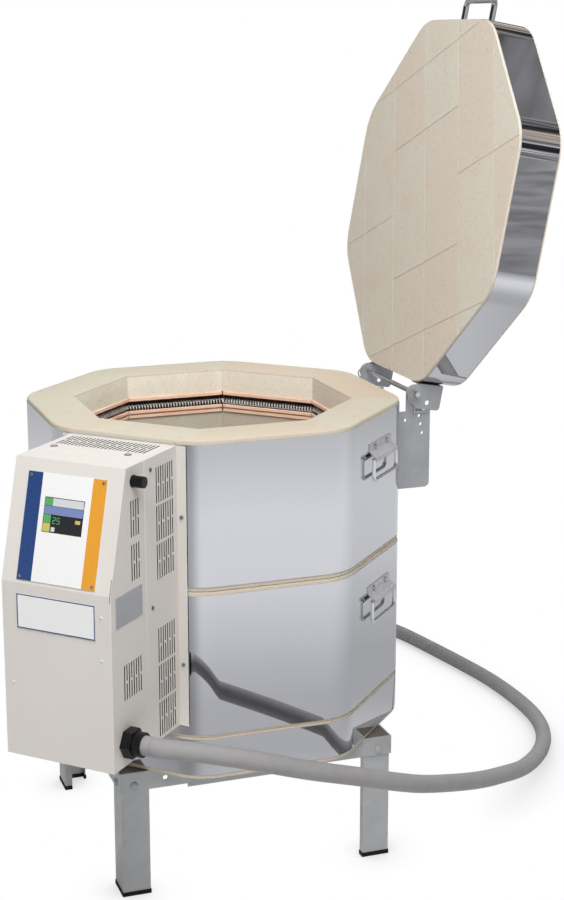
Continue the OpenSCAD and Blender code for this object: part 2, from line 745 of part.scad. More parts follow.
module box_screws() color("#8f9193") on_face(box_face) translate([0, 0, box_z])
    for (s = [0, 1], q = box_screw_list) mirror([0, s, 0]) translate([q.x, box_w / 2, q.y])
        rotate([0, 0, 90]) screw(head = 6, long = 8, shank = 3);

module mid_panel() color("#c9cbcd") on_face(box_face) translate([0, 0, box_z]) difference() {
    translate([rear_d + seam, -box_w / 2, 0]) cube([panel_t, box_w, box_h]);
    for (z = [40, box_h - 60]) translate([rear_d, 40, z]) outward() cylinder(d = 24, h = 5);
}

module box_profile(inset) {
    drop = inset / cos(slope);
    polygon([
        [front_start - inset, inset], [front_d - inset, inset],
        [front_d - inset, bend_h + (inset - drop) / tan(slope)],
        [top_d - drop + inset * tan(slope), box_h - inset], [front_start - inset, box_h - inset]]);
}

module box_solid(inset) translate([0, box_w / 2 - inset, 0]) rotate([90, 0, 0])
    linear_extrude(box_w - 2 * inset) box_profile(inset);

module on_slope()
    on_face(box_face) translate([front_d, 0, box_z + bend_h]) rotate([0, -slope, 0]) children();

overlay_screws = [for (sy = [-1, 1], z = [5, overlay_h - 5]) [sy * (overlay_w / 2 - 5), overlay_low + z]];

module control_box() color("#d2cdc8") difference() {
    on_face(box_face) translate([0, 0, box_z]) difference() {
        box_solid(0);
        box_solid(sheet_t);
        for (group = front_vents) side_vents(front_vent_d, group[0], group[1]);
        translate([fuse_d, box_w / 2 - 5, fuse_z - box_z]) rotate([-90, 0, 0])
            cylinder(d = fuse_body + gap, h = 10);
        translate([gland_d, box_w / 2 - 5, gland_z - box_z]) rotate([-90, 0, 0])
            cylinder(d = conduit_d + 4 + gap, h = 10);
    }
    on_slope() translate([-10, -screen_w / 2 + 2, screen_low + 2]) cube([20, screen_w - 4, screen_h - 4]);
    on_slope() for (q = overlay_screws) translate([0, q.x, q.y]) screw_hole(long = 8, shank = 3);
}

module graphic_panel() color("#1f3f7a") on_slope() difference() {
    translate([0.1, -overlay_w / 2, overlay_low]) cube([overlay_t, overlay_w, overlay_h]);
    translate([-1, -screen_w / 2, screen_low]) cube([overlay_t + 2, screen_w, screen_h]);
    for (q = overlay_screws) translate([0, q.x, q.y]) screw_hole(long = 8, shank = 3);
}

module touch_screen() color("#2a2d33") on_slope() {
    translate([0.1, -screen_w / 2 + 0.3, screen_low + 0.3]) cube([overlay_t, screen_w - 0.6, screen_h - 0.6]);
    translate([-8, -screen_w / 2 + 2.3, screen_low + 2.3]) cube([8.2, screen_w - 4.6, screen_h - 4.6]);
}

module panel_screws() color("#c4c6c8") on_slope() for (q = overlay_screws)
    translate([overlay_t + 0.1, q.x, q.y]) screw(head = 5, long = 7, shank = 3);

plate_w = overlay_w;
plate_h = 50.5;
plate_top = box_z + bend_h - 15.5;
label_w = 73;
label_h = 44;
label_top = box_z + bend_h - 6.5;

module name_plate() color("#f2f2f0") on_face(box_face)
    translate([front_d + 0.1, -plate_w / 2, plate_top - plate_h]) cube([1.2, plate_w, plate_h]);

module rating_plate() color("#b9bbc0") on_face(box_face)
    translate([front_start + 12, box_w / 2 + 0.1, label_top - label_h]) cube([label_w, 0.8, label_h]);

module fuse_place() on_face(box_face) translate([fuse_d, box_w / 2, fuse_z]) rotate([-90, 0, 0]) children();

module fuse_holder() color("#1c1c1d") fuse_place() difference() {
    union() {
        translate([0, 0, 0.1]) cylinder(d = fuse_flange, h = fuse_flange_t);
        translate([0, 0, -32]) cylinder(d = fuse_body, h = 33);
    }
    translate([0, 0, -24]) cylinder(d = 8 + 2 * fit, h = 40);
}

module fuse_cap() color("#1c1c1d") fuse_place() {
    difference() {
        translate([0, 0, fuse_flange_t + 0.5]) cylinder(d = fuse_cap_d, h = fuse_cap_long);
        for (a = [0:30:330]) rotate([0, 0, a]) translate([fuse_cap_d / 2 + 0.4, 0, 7])
            cylinder(d = 1.8, h = 20, $fn = 16);
    }
    translate([0, 0, -20]) cylinder(d = 8, h = 24);
}

module controller_board() color("#2f6b45") on_slope() {
    translate([-18, -50, screen_low - 22]) cube([1.6, 100, 86]);
    for (y = [-40, 40], z = [-12, 50]) translate([-16.5, y, screen_low + z])
        outward() cylinder(d = 6, h = 16.5 - sheet_t - 0.2);
}

module on_panel() on_face(box_face) translate([rear_d + seam + panel_t + 0.1, 0, box_z]) children();

// Inner electrics: each size is out from the panel, along it and up, and each place is along it and up
relay = [38, 38, 58];
relay_at = [-70, 150];
relay_pitch = 46;
core_foot = [3, 70, 56];
core = [36, 54, 44];
core_at = [-60, 240];
block = [24, 90, 34];
block_at = [-60, 70];
wire_hole_d = 9;

module relays() color("#2a2d33") on_panel()
    for (k = [0:2]) translate([0, relay_at.x + k * relay_pitch, relay_at.y]) cube(relay);

module transformer() color("#7a5a3a") on_panel() {
    translate([0, core_at.x, core_at.y]) cube(core_foot);
    inset = (core_foot - core) / 2;
    translate([core_foot.x - 1, core_at.x + inset.y, core_at.y + inset.z]) cube(core);
}

module terminal_block() color("#e4dcc8") on_panel() difference() {
    translate([0, block_at.x, block_at.y]) cube(block);
    for (k = [-1:1]) translate([block.x * 0.6, block_at.x + block.y / 2 + k * block.y / 3, block_at.y - 1])
        cylinder(d = wire_hole_d, h = block.z + 2);
}

// Hexagon by its width across flats
module hexagon(af) polygon([for (a = [0:60:300]) af / sqrt(3) * [cos(a), sin(a)]]);

module cord_gland() color("#1c1c1d")
    on_face(box_face) translate([gland_d, box_w / 2, gland_z]) rotate([-90, 0, 0]) difference() {
        union() {
            translate([0, 0, 0.1]) linear_extrude(gland_long * 0.55) hexagon(gland_af);
            cylinder(d = gland_af - 3, h = gland_long);
            translate([0, 0, -12]) cylinder(d = conduit_d + 4, h = 13);
            translate([0, 0, -sheet_t - 8.1]) linear_extrude(8) hexagon(gland_af + 2);
        }
        translate([0, 0, -20]) cylinder(d = conduit_d - 4, h = 19 + gland_long);
    }

conduit_sides = 16;

module conduit() color("#9b9694") {
    last = len(conduit_route) - 2;
    line = concat(
        [for (i = [0:last], f = [0, 1 / 3, 2 / 3]) [bend(conduit_route, i, f), [0, 0, 1], conduit_d / 2]],
        [[plug_end, [0, 0, 1], conduit_d / 2]]
    );
    tube(line, conduit_sides);
}

plug_d = 50;
plug_long = 68;

module plug_body() color("#1c1c1d")
    translate(plug_end) rotate([90, 0, 0]) cylinder(d = plug_d, h = plug_long);

module plug_blades() color("#b8964c") translate(plug_end) rotate([90, 0, 0]) {
    for (x = [-11, 11]) translate([x - 1.3, -1, plug_long]) cube([2.6, 11, 20]);
    translate([0, -13, plug_long]) cylinder(d = 7, h = 20);
}

stand_frame();
legs();
foot_trims();
stand_bolts();
slab_pan();
floor_slab();
floor_wrap();
lower_bricks();
lower_wrap();
upper_bricks();
upper_wrap();
lower_holders();
upper_holders();
element_1();
element_2();
element_3();
element_4();
bushings();
terminals();
thermocouples();
lid_slab();
lid_band();
lid_handle();
lid_handle_screws();
lid_arm_right();
lid_arm_left();
arm_screws();
hinge_rod();
hitch_clips();
hinge_plate_right();
hinge_plate_left();
hinge_screws();
drop_brackets();
drop_screws();
bail_1();
bail_2();
bail_3();
bail_4();
terminal_box();
flange_screws();
mid_panel();
control_box();
box_screws();
graphic_panel();
touch_screen();
panel_screws();
name_plate();
rating_plate();
fuse_holder();
fuse_cap();
controller_board();
relays();
transformer();
terminal_block();
cord_gland();
conduit();
plug_body();
plug_blades();
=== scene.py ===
"""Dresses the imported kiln: mirror wraps, brick, holders with coiled wire, painted boxes and a conduit."""

import math
from functools import partial

import bmesh
import bpy
import numpy as np
from mathutils import Matrix, Vector


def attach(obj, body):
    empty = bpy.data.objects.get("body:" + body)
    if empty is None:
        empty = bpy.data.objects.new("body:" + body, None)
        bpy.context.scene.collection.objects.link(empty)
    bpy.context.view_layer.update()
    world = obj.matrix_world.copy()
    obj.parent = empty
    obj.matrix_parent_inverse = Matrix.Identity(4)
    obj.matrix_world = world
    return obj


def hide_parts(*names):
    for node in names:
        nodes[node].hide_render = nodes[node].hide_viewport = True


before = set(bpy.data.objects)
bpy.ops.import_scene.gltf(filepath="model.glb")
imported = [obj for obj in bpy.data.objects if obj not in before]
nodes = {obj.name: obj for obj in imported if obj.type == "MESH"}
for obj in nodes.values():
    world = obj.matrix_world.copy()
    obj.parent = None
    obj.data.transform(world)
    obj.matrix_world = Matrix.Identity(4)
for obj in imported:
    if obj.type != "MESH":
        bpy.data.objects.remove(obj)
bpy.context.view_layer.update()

# Sizes in millimetres, as in the part's source, apart from sheets that bare a little less at two seams
FACE = 284.0
STAND_H = 204.0
GUSSET = 220.7
GUSSET_LEG = 100.0
GUSSET_T = 0.7
GUSSET_GAP = 0.15
SLAB_TOP = STAND_H + 67
SECTION_H = 228.6
RIM = SLAB_TOP + 2 * SECTION_H
BARE_H = 6.5
SEAM_H = 3.5
LID_BARE = (4.0, 3.0)
WALL = 77.0
WRAP_T = 0.8
CORNER_R = 80.0
LID_AF = 574.0
LID_H = 72.0
LID_TAIL = 9.0
LID_SEAT = RIM + 0.4
LID_OPEN = math.radians(100.5)
ROD_Y = FACE + 29
ROD_Z = RIM + 1.2
BRICK_W = 114.3
ROW_DROPS = (171.5, 57.0)
# Depths below the rim, in millimetres, over which painted shade darkens the hot face
HOT_FACE_SHADE_DROPS = (74.0, 40.0)
HOLDER_H = 35.0
HOLDER_IN = FACE - WALL - 3
HOLDER_DEPTH = 25.0
COIL_R = 4.2
WIRE_D = 1.9
COIL_DROP = 1.2
COIL_AT = HOLDER_IN + 11
COIL_PITCH = 5.2
TAIL_U = 25.0
HALF_OCTANT = math.tan(math.pi / 8)

# Control box: depths are out from the body's face, heights are above the box's bottom
BOX_FACE = math.radians(-45)
BOX_W = 178.0
BOX_H = 430.0
BOX_Z = RIM - 8 - BOX_H
FRONT_D = 195.0
TOP_D = 147.0
BEND_H = 260.0
SHEET_T = 1.4
SLOPE = math.atan((FRONT_D - TOP_D) / (BOX_H - BEND_H))
PANEL_W = 128.0
PANEL_H = 153.0
PANEL_LOW = 5.0
PANEL_T = 1.3
SCREEN_W = 65.0
SCREEN_H = 49.5
SCREEN_LOW = 75.5
PLATE_H = 50.5
PLATE_LOW = BEND_H - 15.5 - PLATE_H
CONDUIT_D = 28.0
GLAND_D = FRONT_D - 37
GLAND_Z = BOX_Z + 35
GLAND_LONG = 28.0

# Printed bands and border, and the display's tiles and digits
BLUE_BAND = 24.0
ORANGE_BAND = 22.0
BORDER_W = 1.7
SLIT_W = 0.8
FILM_T = 0.08
BORDER_T = 0.06
TILE_T = 0.05
TILE_GAP = 0.6
SCREEN_EDGE = 1.0
KEY_W = 12.0
DIGIT_W = 4.0
BAR_HALF = 0.5

# Screws on the box's top as (out, across), and studs on its front as (across, height)
TOP_SCREWS = ((78, -70), (78, 53))
STUDS = ((73, 228), (73, 165), (-74, 110))


# Placing

def metres(*point):
    return Vector(point) / 1000


def on_face(angle, out, u, z):
    """A point in metres: out from the wrap's face at this angle, u to the right seen from outside."""
    c, s = math.cos(angle), math.sin(angle)
    return metres(c * (FACE + out) - s * u, s * (FACE + out) + c * u, z)


def on_box(out, u, height):
    return on_face(BOX_FACE, out, u, BOX_Z + height)


def on_slope(out, u, up):
    """A point on the control box's sloping front, up from its bend."""
    lean = out * math.cos(SLOPE) - up * math.sin(SLOPE)
    rise = out * math.sin(SLOPE) + up * math.cos(SLOPE)
    return on_box(FRONT_D + lean, u, BEND_H + rise)


LID_SWING = (Matrix.Translation(metres(0, ROD_Y, ROD_Z)) @ Matrix.Rotation(-LID_OPEN, 4, "X")
             @ Matrix.Translation(-metres(0, ROD_Y, ROD_Z)))
OUTWARD = on_box(1, 0, 0) - on_box(0, 0, 0)
OFF_SLOPE = on_slope(1, 0, 0) - on_slope(0, 0, 0)


# Node trees

def linear(colour):
    """Linear RGBA from an sRGB hex value."""
    values = [int(colour[i:i + 2], 16) / 255 for i in (1, 3, 5)]
    return [v / 12.92 if v < 0.04045 else ((v + 0.055) / 1.055) ** 2.4 for v in values] + [1.0]


def add(tree, kind, inputs=None, **settings):
    """A node with its settings. Each input is a value, or a socket or node to link it to.

    The kind is a shader node's where its name doesn't say what node it is.
    """
    made = tree.nodes.new(kind if "Node" in kind else "ShaderNode" + kind)
    for name, value in settings.items():
        setattr(made, name, value)
    for name, value in (inputs or {}).items():
        given = made.inputs[name]
        if isinstance(name, str):
            given = next(s for s in made.inputs if s.enabled and s.name == name)
        if isinstance(value, bpy.types.Node):
            value = next(s for s in value.outputs if s.enabled)
        if isinstance(value, bpy.types.NodeSocket):
            tree.links.new(value, given)
        else:
            given.default_value = value
    return made


def new_material(name):
    """A material with an empty tree, and the Object coordinates that its patterns lie in."""
    made = bpy.data.materials.new(name)
    made.use_nodes = True
    made.node_tree.nodes.clear()
    return made, made.node_tree, add(made.node_tree, "TexCoord").outputs["Object"]


def surfaced(made, tree, inputs):
    """The material, ended with one surface that has these inputs."""
    add(tree, "OutputMaterial", {"Surface": add(tree, "BsdfPrincipled", inputs)})
    return made


def clouds(tree, at, size, detail, spread=(0.3, 0.7), levels=(0.0, 1.0), **settings):
    """Noise of a size in millimetres, with its spread stretched to the levels."""
    noise = add(tree, "TexNoise", {"Vector": at, "Scale": 1000 / size, "Detail": detail, **settings})
    return add(tree, "MapRange", {"Value": noise, "From Min": spread[0], "From Max": spread[1],
                                  "To Min": levels[0], "To Max": levels[1]})


def tinted(tree, at, size, detail, one, other, spread=(0.0, 1.0)):
    """Clouds of two colours, of a size in millimetres."""
    share = clouds(tree, at, size, detail, spread)
    return add(tree, "Mix", {"Factor": share, "A": linear(one), "B": linear(other)}, data_type="RGBA")


def relief(tree, at, size, detail, depth, strength):
    """A surface raised by noise, of a size and a depth in millimetres."""
    noise = add(tree, "TexNoise", {"Vector": at, "Scale": 1000 / size, "Detail": detail})
    return add(tree, "Bump", {"Height": noise, "Distance": depth / 1000, "Strength": strength})


def fill_ramp(ramp, stops):
    """Greys along a ramp, each a trace bluer than neutral, or warmer by a share of its level."""
    while len(ramp.elements) < len(stops):
        ramp.elements.new(0.5)
    for element, (place, level, *warm) in zip(ramp.elements, stops):
        element.position = place
        element.color = (level * (1 + sum(warm)), level, level * (1.01 - sum(warm)), 1)


# Materials

def mirror_stainless():
    """Bright-annealed stainless sheet: a mirror with faint polish haze and a slow wave in the sheet."""
    made, tree, coords = new_material("mirror_stainless")
    strokes = add(tree, "Mapping", {"Vector": coords, "Scale": (1, 1, 6)})
    haze = clouds(tree, strokes, 40, 4.0, levels=(0.01, 0.025))
    wave = relief(tree, coords, 160, 1.0, 0.35, 0.25)
    return surfaced(made, tree, {"Base Color": linear("#d3d4d9"), "Metallic": 1.0, "Roughness": haze,
                                 "Normal": wave})


def octant(tree, coords):
    """The turn round the chamber in eighths, with a whole number at each corner."""
    at = add(tree, "SeparateXYZ", {0: coords})
    turn = add(tree, "Math", {0: at.outputs[1], 1: at.outputs[0]}, operation="ARCTAN2")
    return add(tree, "Math", {0: turn, 1: 8 / math.tau, 2: 0.5}, operation="MULTIPLY_ADD")


def wall_cell(tree, coords):
    """A number for each of the eight wall bricks."""
    return add(tree, "Math", {0: octant(tree, coords)}, operation="FLOOR")


def lid_cell(tree, coords):
    """A number for each brick of the lid, whose columns lie 22.5 degrees off the hinge."""
    closed = add(tree, "VectorRotate", {"Vector": coords, "Center": metres(0, ROD_Y, ROD_Z),
                                        "Angle": LID_OPEN}, rotation_type="X_AXIS")
    turned = add(tree, "VectorRotate", {"Vector": closed, "Angle": math.radians(22.5)},
                 rotation_type="Z_AXIS")
    at = add(tree, "SeparateXYZ", {0: turned})
    column = add(tree, "Math", {0: at.outputs[0], 1: 1000 / BRICK_W}, operation="MULTIPLY")
    column = add(tree, "Math", {0: column}, operation="FLOOR")
    middle = add(tree, "Math", {0: column, 1: -0.5, 2: 0.6}, operation="COMPARE")
    along = add(tree, "Math", {0: at.outputs[1], 1: 500 / BRICK_W}, operation="MULTIPLY")
    along = add(tree, "Math", {0: middle, 1: 0.5, 2: along}, operation="MULTIPLY_ADD")
    along = add(tree, "Math", {0: along}, operation="FLOOR")
    return add(tree, "Math", {0: along, 1: 17.0, 2: column}, operation="MULTIPLY_ADD")


def firebrick(name, cell, cream, blush, joint=0.0):
    """Sawn insulating firebrick: dry cream, each brick of its own tint, with dust and pores of 1 to 3 mm
    darkened by painted shade. Given a joint width, it also has dark joints at the corners and painted shade
    lower down the hot face.
    """
    made, tree, coords = new_material(name)
    each = add(tree, "TexWhiteNoise", {"W": cell(tree, coords)}, noise_dimensions="1D")
    blotch = clouds(tree, coords, 80, 4.0, (0.45, 0.66), (0.0, 0.8), Roughness=0.6)
    grime = clouds(tree, coords, 5, 3.0, (0.3, 0.65), (0.26, 0.0), Roughness=0.7)
    holes = add(tree, "TexVoronoi", {"Vector": coords, "Scale": 1000 / 9})
    pit = add(tree, "MapRange", {"Value": holes, "From Min": 0.08, "From Max": 0.19,
                                 "To Min": 1.0, "To Max": 0.0})
    some = clouds(tree, coords, 30, 2.0, (0.52, 0.62))
    pit = add(tree, "Math", {0: pit, 1: some}, operation="MULTIPLY")
    # Painted shade darkens the pores, besides the bump that dents them
    shade = add(tree, "Math", {0: pit, 1: 0.6}, operation="MULTIPLY")
    layers = [(each, blush, "MIX"), (blotch, blush, "MIX"), (grime, "#b3a892", "MIX"),
              (shade, "#8f8470", "MIX")]
    if joint:
        from_corner = add(tree, "Math", {0: octant(tree, coords), 1: 0.5}, operation="PINGPONG")
        corner_r = (FACE - WALL) / math.cos(math.pi / 8) * math.tau / 8
        line = add(tree, "MapRange", {"Value": from_corner, "From Min": 0.5 * joint / corner_r,
                                      "From Max": joint / corner_r, "To Min": 0.15, "To Max": 0.0})
        height = add(tree, "SeparateXYZ", {0: coords}).outputs[2]
        # Painted shade: the hot face darkens from 40 to 74 mm below the rim and stays darker below, as light
        # falls off with depth
        low, high = ((RIM - drop) / 1000 for drop in HOT_FACE_SHADE_DROPS)
        depth_painted_shade = add(tree, "MapRange", {"Value": height, "From Min": low, "From Max": high,
                                       "To Min": 1.0, "To Max": 0.0})
        layers += [(line, "#7d715f", "MIX"), (depth_painted_shade, "#d3d3d0", "MULTIPLY")]
    colour = linear(cream)
    for share, tint, way in layers:
        colour = add(tree, "Mix", {"Factor": share, "A": colour, "B": linear(tint)}, data_type="RGBA",
                     blend_type=way)
    grain = add(tree, "TexVoronoi", {"Vector": coords, "Scale": 1000 / 2.6})
    sawn = add(tree, "Bump", {"Height": grain, "Distance": 0.0003, "Strength": 0.5})
    pitted = add(tree, "Bump", {"Height": pit, "Distance": 0.0008, "Strength": 0.6, "Normal": sawn},
                 invert=True)
    return surfaced(made, tree, {"Base Color": colour, "Roughness": 0.95, "Specular IOR Level": 0.2,
                                 "Normal": pitted})


def fired_clay(name, pale, dark, size):
    """Extruded and fired holder clay: dry buff, with soft clouds of colour and fine grit."""
    made, tree, coords = new_material(name)
    colour = tinted(tree, coords, size, 4.0, pale, dark, (0.35, 0.7))
    grit = relief(tree, coords, 0.8, 2.0, 0.05, 0.4)
    return surfaced(made, tree, {"Base Color": colour, "Roughness": 0.88, "Specular IOR Level": 0.3,
                                 "Normal": grit})


def oxidised_wire():
    """Resistance wire with a thin pale oxide: dull metal that still glints on its curls."""
    made, tree, coords = new_material("oxidised_wire")
    colour = tinted(tree, coords, 4, 3.0, "#e6e3e0", "#faf8f6")
    return surfaced(made, tree, {"Base Color": colour, "Roughness": 0.4})


def powder_coat():
    """Polyester powder coat on sheet steel: warm off-white, satin, with orange peel about 2 mm wide."""
    made, tree, coords = new_material("powder_coat")
    colour = tinted(tree, coords, 120, 2.0, "#d9d4cf", "#d3cec8")
    peel = relief(tree, coords, 2.2, 2.0, 0.06, 0.35)
    return surfaced(made, tree, {"Base Color": colour, "Roughness": 0.45, "Specular IOR Level": 0.4,
                                 "Normal": peel})


def satin_zinc(name, colour, dark, metallic=0.45):
    """Zinc-coated or satin sheet: grey metal with a faint cloud of crystals about 12 mm wide."""
    made, tree, coords = new_material(name)
    crystals = add(tree, "TexVoronoi", {"Vector": coords, "Scale": 1000 / 12})
    cloud = add(tree, "TexNoise", {"Vector": coords, "Scale": 1000 / 50, "Detail": 4.0, "Roughness": 0.6})
    both = add(tree, "Math", {0: crystals.outputs["Color"], 1: 0.35, 2: cloud},
               operation="MULTIPLY_ADD")
    share = add(tree, "MapRange", {"Value": both, "From Min": 0.3, "From Max": 1.0})
    tint = add(tree, "Mix", {"Factor": share, "A": linear(colour), "B": linear(dark)}, data_type="RGBA")
    rough = add(tree, "MapRange", {"Value": cloud, "From Min": 0.3, "From Max": 0.7,
                                   "To Min": 0.36, "To Max": 0.5})
    return surfaced(made, tree, {"Base Color": tint, "Roughness": rough, "Metallic": metallic})


def bright_plate(name, colour, low, high):
    """Chrome, bright zinc or brass: a clear metal shine with light rubbing marks about 8 mm wide."""
    made, tree, coords = new_material(name)
    rubbed = clouds(tree, coords, 8, 5.0, (0.35, 0.7), (low, high), Roughness=0.7)
    return surfaced(made, tree, {"Base Color": linear(colour), "Metallic": 1.0, "Roughness": rubbed})


def moulded(name, colour, pale, rough, grain, specular=0.5):
    """Moulded plastic, rubber or glazed clay: nearly even colour, with the fine grain of its mould."""
    made, tree, coords = new_material(name)
    shade = tinted(tree, coords, 20, 3.0, colour, pale, (0.3, 0.7))
    skin = relief(tree, coords, grain, 2.0, 0.08, 0.4)
    return surfaced(made, tree, {"Base Color": shade, "Roughness": rough, "Specular IOR Level": specular,
                                 "Normal": skin})


def printed_film(name, colour):
    """Printed plastic film: even ink under a clear gloss, with a trace of the film's texture."""
    made, tree, coords = new_material(name)
    rough = clouds(tree, coords, 1.2, 2.0, levels=(0.25, 0.35))
    return surfaced(made, tree, {"Base Color": linear(colour), "Roughness": rough, "Coat Weight": 0.2,
                                 "Coat Roughness": 0.12})


def lit_display(name, colour, glow):
    """A patch of a lit display behind glass: a glow with faint rows of pixels, drawn 1.5 mm wide to show."""
    made, tree, coords = new_material(name)
    rows = add(tree, "TexWave", {"Vector": coords, "Scale": 1000 / (1.5 * math.tau)},
               bands_direction="Z")
    shine = add(tree, "MapRange", {"Value": rows.outputs[1], "To Min": 0.92 * glow, "To Max": glow})
    return surfaced(made, tree, {"Base Color": linear("#101214"), "Roughness": 0.15,
                                 "Emission Color": linear(colour), "Emission Strength": shine})


STAINLESS = mirror_stainless()
# The hot face takes a paler cream than the rim: one brick in lit and shaded copies, with painted light on the
# inner wall
RIM_BRICK = firebrick("sawn_firebrick", wall_cell, "#c4c1b1", "#c8b9a7")
HOT_FACE = firebrick("hot_face_firebrick", wall_cell, "#edebdc", "#ebdfcf", 1.2)
LID_BRICK = firebrick("lid_firebrick", lid_cell, "#dad5c7", "#dacdbe")
HOLDER = fired_clay("pink_fired_clay", "#f0cdb6", "#e6bfa5", 25)
# Dark clay on the faces of the holders' troughs: painted shade, where the top lip shades the trough
TROUGH_PAINTED_SHADE = fired_clay("oxide_stained_clay", "#6e5648", "#4d3c32", 9)
RIDGE = fired_clay("browned_clay", "#a97f66", "#97705a", 12)
WIRE = oxidised_wire()
PAINT = powder_coat()
LEG_STEEL = satin_zinc("galvanised_steel", "#b8babb", "#abadaf")
HINGE_STEEL = satin_zinc("zinc_plated_steel", "#b0b2b5", "#a5a7ab")
SILVER = satin_zinc("satin_aluminium", "#b4b5b9", "#a6a7ac", 0.3)
BRACKET_STEEL = satin_zinc("satin_chrome", "#d0d1d4", "#c1c2c6")
# Dark steel for the box's screws and the discs under its top screws; on the stand's corner gussets it is
# painted shade
DARK_STEEL_AND_SHADE = satin_zinc("browned_steel", "#6e6761", "#5a534e", 0.2)
CHROME = bright_plate("chrome_plate", "#dfe0e3", 0.05, 0.14)
ZINC = bright_plate("bright_zinc", "#c9cbcd", 0.18, 0.34)
BRASS = bright_plate("brass", "#c9a45a", 0.2, 0.35)
RUBBER = moulded("black_rubber", "#0e0e0f", "#171718", 0.7, 0.8, 0.3)
NYLON = moulded("black_nylon", "#0d0e0f", "#151617", 0.4, 0.6, 0.3)
JACKET = moulded("grey_vinyl", "#9a9898", "#949292", 0.6, 12.0, 0.2)
# Dark lining inside the boxes and in the cut edges of their vents: painted shade
PAINTED_SHADE_LINING = moulded("dark_primer", "#383634", "#2e2c2a", 0.7, 2.0, 0.2)
GREEN_BOARD = moulded("circuit_board", "#2f6b45", "#387850", 0.35, 1.0)
PORCELAIN = moulded("porcelain", "#e9e3d6", "#e1dac9", 0.3, 1.0)
CORE = moulded("laminated_core", "#7a5a3a", "#6b4e32", 0.5, 0.7)
WHITE_FILM = printed_film("white_film", "#e9e8e8")
BLUE_FILM = printed_film("blue_film", "#1f3f77")
ORANGE_FILM = printed_film("orange_film", "#dd992d")
GLASS = lit_display("display_glass", "#23262a", 0.6)
WHITE_TILE = lit_display("white_tile", "#e2e4e8", 0.9)
BLUE_TILE = lit_display("blue_tile", "#8292c6", 0.9)
GREEN_TILE = lit_display("green_tile", "#62b56c", 0.9)
YELLOW_TILE = lit_display("yellow_tile", "#d8cd6a", 0.9)


# Meshes

def linked(name, data):
    """A new object in the scene."""
    made = bpy.data.objects.new(name, data)
    bpy.context.scene.collection.objects.link(made)
    return made


def piece(name, mesh, material, body="kiln", instead_of=(), angle=35):
    """A finished piece that rides on a body. Edges above the angle are sharp, if one is given."""
    made = linked(name, mesh)
    if material is not None:
        mesh.materials.clear()
        mesh.materials.append(material)
    if angle is not None:
        mesh.shade_smooth()
        mesh.set_sharp_from_angle(angle=math.radians(angle))
    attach(made, body)
    if instead_of:
        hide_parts(*instead_of)
    return made


def mesh_of(work, name, *materials):
    """A mesh from a bmesh, which is then freed."""
    mesh = bpy.data.meshes.new(name)
    work.to_mesh(mesh)
    work.free()
    for material in materials:
        mesh.materials.append(material)
    return mesh


def evaluated(carrier):
    """The plain mesh that an object's modifiers make. The object is then removed."""
    graph = bpy.context.evaluated_depsgraph_get()
    mesh = bpy.data.meshes.new_from_object(carrier.evaluated_get(graph))
    bpy.data.objects.remove(carrier)
    return mesh


def solids_of(node):
    """A CAD node as a bmesh, with the corners of its faces joined."""
    work = bmesh.new()
    work.from_mesh(nodes[node].data)
    bmesh.ops.remove_doubles(work, verts=work.verts, dist=2e-6)
    return work


def softened(node, material, width, body="kiln", angle=32, shortest=0):
    """A CAD node with its sharp edges rounded, or only those longer than the shortest, in millimetres."""
    work = solids_of(node)
    bmesh.ops.dissolve_limit(work, angle_limit=math.radians(0.4), verts=work.verts, edges=work.edges)
    weight = work.edges.layers.float.new("bevel_weight_edge")
    for edge in work.edges:
        bent = len(edge.link_faces) == 2 and edge.calc_face_angle() > math.radians(angle)
        edge[weight] = 1.0 if bent and edge.calc_length() > shortest / 1000 else 0.0
    mesh = mesh_of(work, node)
    mesh.shade_smooth()
    mesh.set_sharp_from_angle(angle=math.radians(angle))
    carrier = linked(node, mesh)
    bevel = carrier.modifiers.new("edges", "BEVEL")
    bevel.width = width / 1000
    bevel.segments = 2
    bevel.limit_method = "WEIGHT"
    bevel.use_clamp_overlap = True
    flat = carrier.modifiers.new("flat_faces", "WEIGHTED_NORMAL")
    flat.keep_sharp = True
    return piece(node + "_finished", evaluated(carrier), material, body, [node], None)


def islands(node):
    """The separate solids of a CAD node, each as an array of its corners in metres."""
    work = solids_of(node)
    left, found = set(work.verts), []
    while left:
        stack, group = [left.pop()], []
        while stack:
            vert = stack.pop()
            group.append(vert.co[:])
            for edge in vert.link_edges:
                other = edge.other_vert(vert)
                if other in left:
                    left.remove(other)
                    stack.append(other)
        found.append(np.array(group))
    work.free()
    return sorted(found, key=lambda corners: tuple(corners.mean(0).round(4)))


def screw_places(node, bolt_head=None):
    """Where each screw's head meets what it holds, and the way it points, read from its solid.

    A bolt, which also has a nut, points away from the kiln, and its head is as high as given in millimetres.
    """
    places = []
    for corners in islands(node):
        middle = (corners.max(0) + corners.min(0)) / 2
        axis = np.linalg.svd(corners - corners.mean(0))[2][0]
        along = (corners - middle) @ axis
        away = np.linalg.norm((corners - middle) - along[:, None] * axis, axis=1)
        inward = away[along > 0].max() < away[along < 0].max()
        if bolt_head:
            inward = axis[:2] @ middle[:2] < 0
        if inward:
            axis, along = -axis, -along
        seat = along.max() - bolt_head / 1000 if bolt_head else along[away > away.max() * 0.98].min()
        off = corners.mean(0) - middle
        places.append((Vector(middle + off - off @ axis * axis + axis * seat), Vector(axis)))
    return places


def skin(work, rings, closed):
    """Quads between rings of corners, and from the last ring to the first where the rings close."""
    pairs = zip(rings, rings[1:] + rings[:1]) if closed else zip(rings, rings[1:])
    made = []
    for first, second in pairs:
        count = len(first)
        made += [work.faces.new((first[k], first[(k + 1) % count], second[(k + 1) % count], second[k]))
                 for k in range(count)]
    return made


def lathe(profile, sides):
    """A turned solid about Z from (radius, height) pairs in millimetres, closed at both ends."""
    work = bmesh.new()
    turns = [math.tau * k / sides for k in range(sides)]
    rings = [[work.verts.new(metres(radius * math.cos(a), radius * math.sin(a), height)) for a in turns]
             for radius, height in profile]
    skin(work, rings, False)
    work.faces.new(rings[0][::-1])
    work.faces.new(rings[-1])
    return work, rings


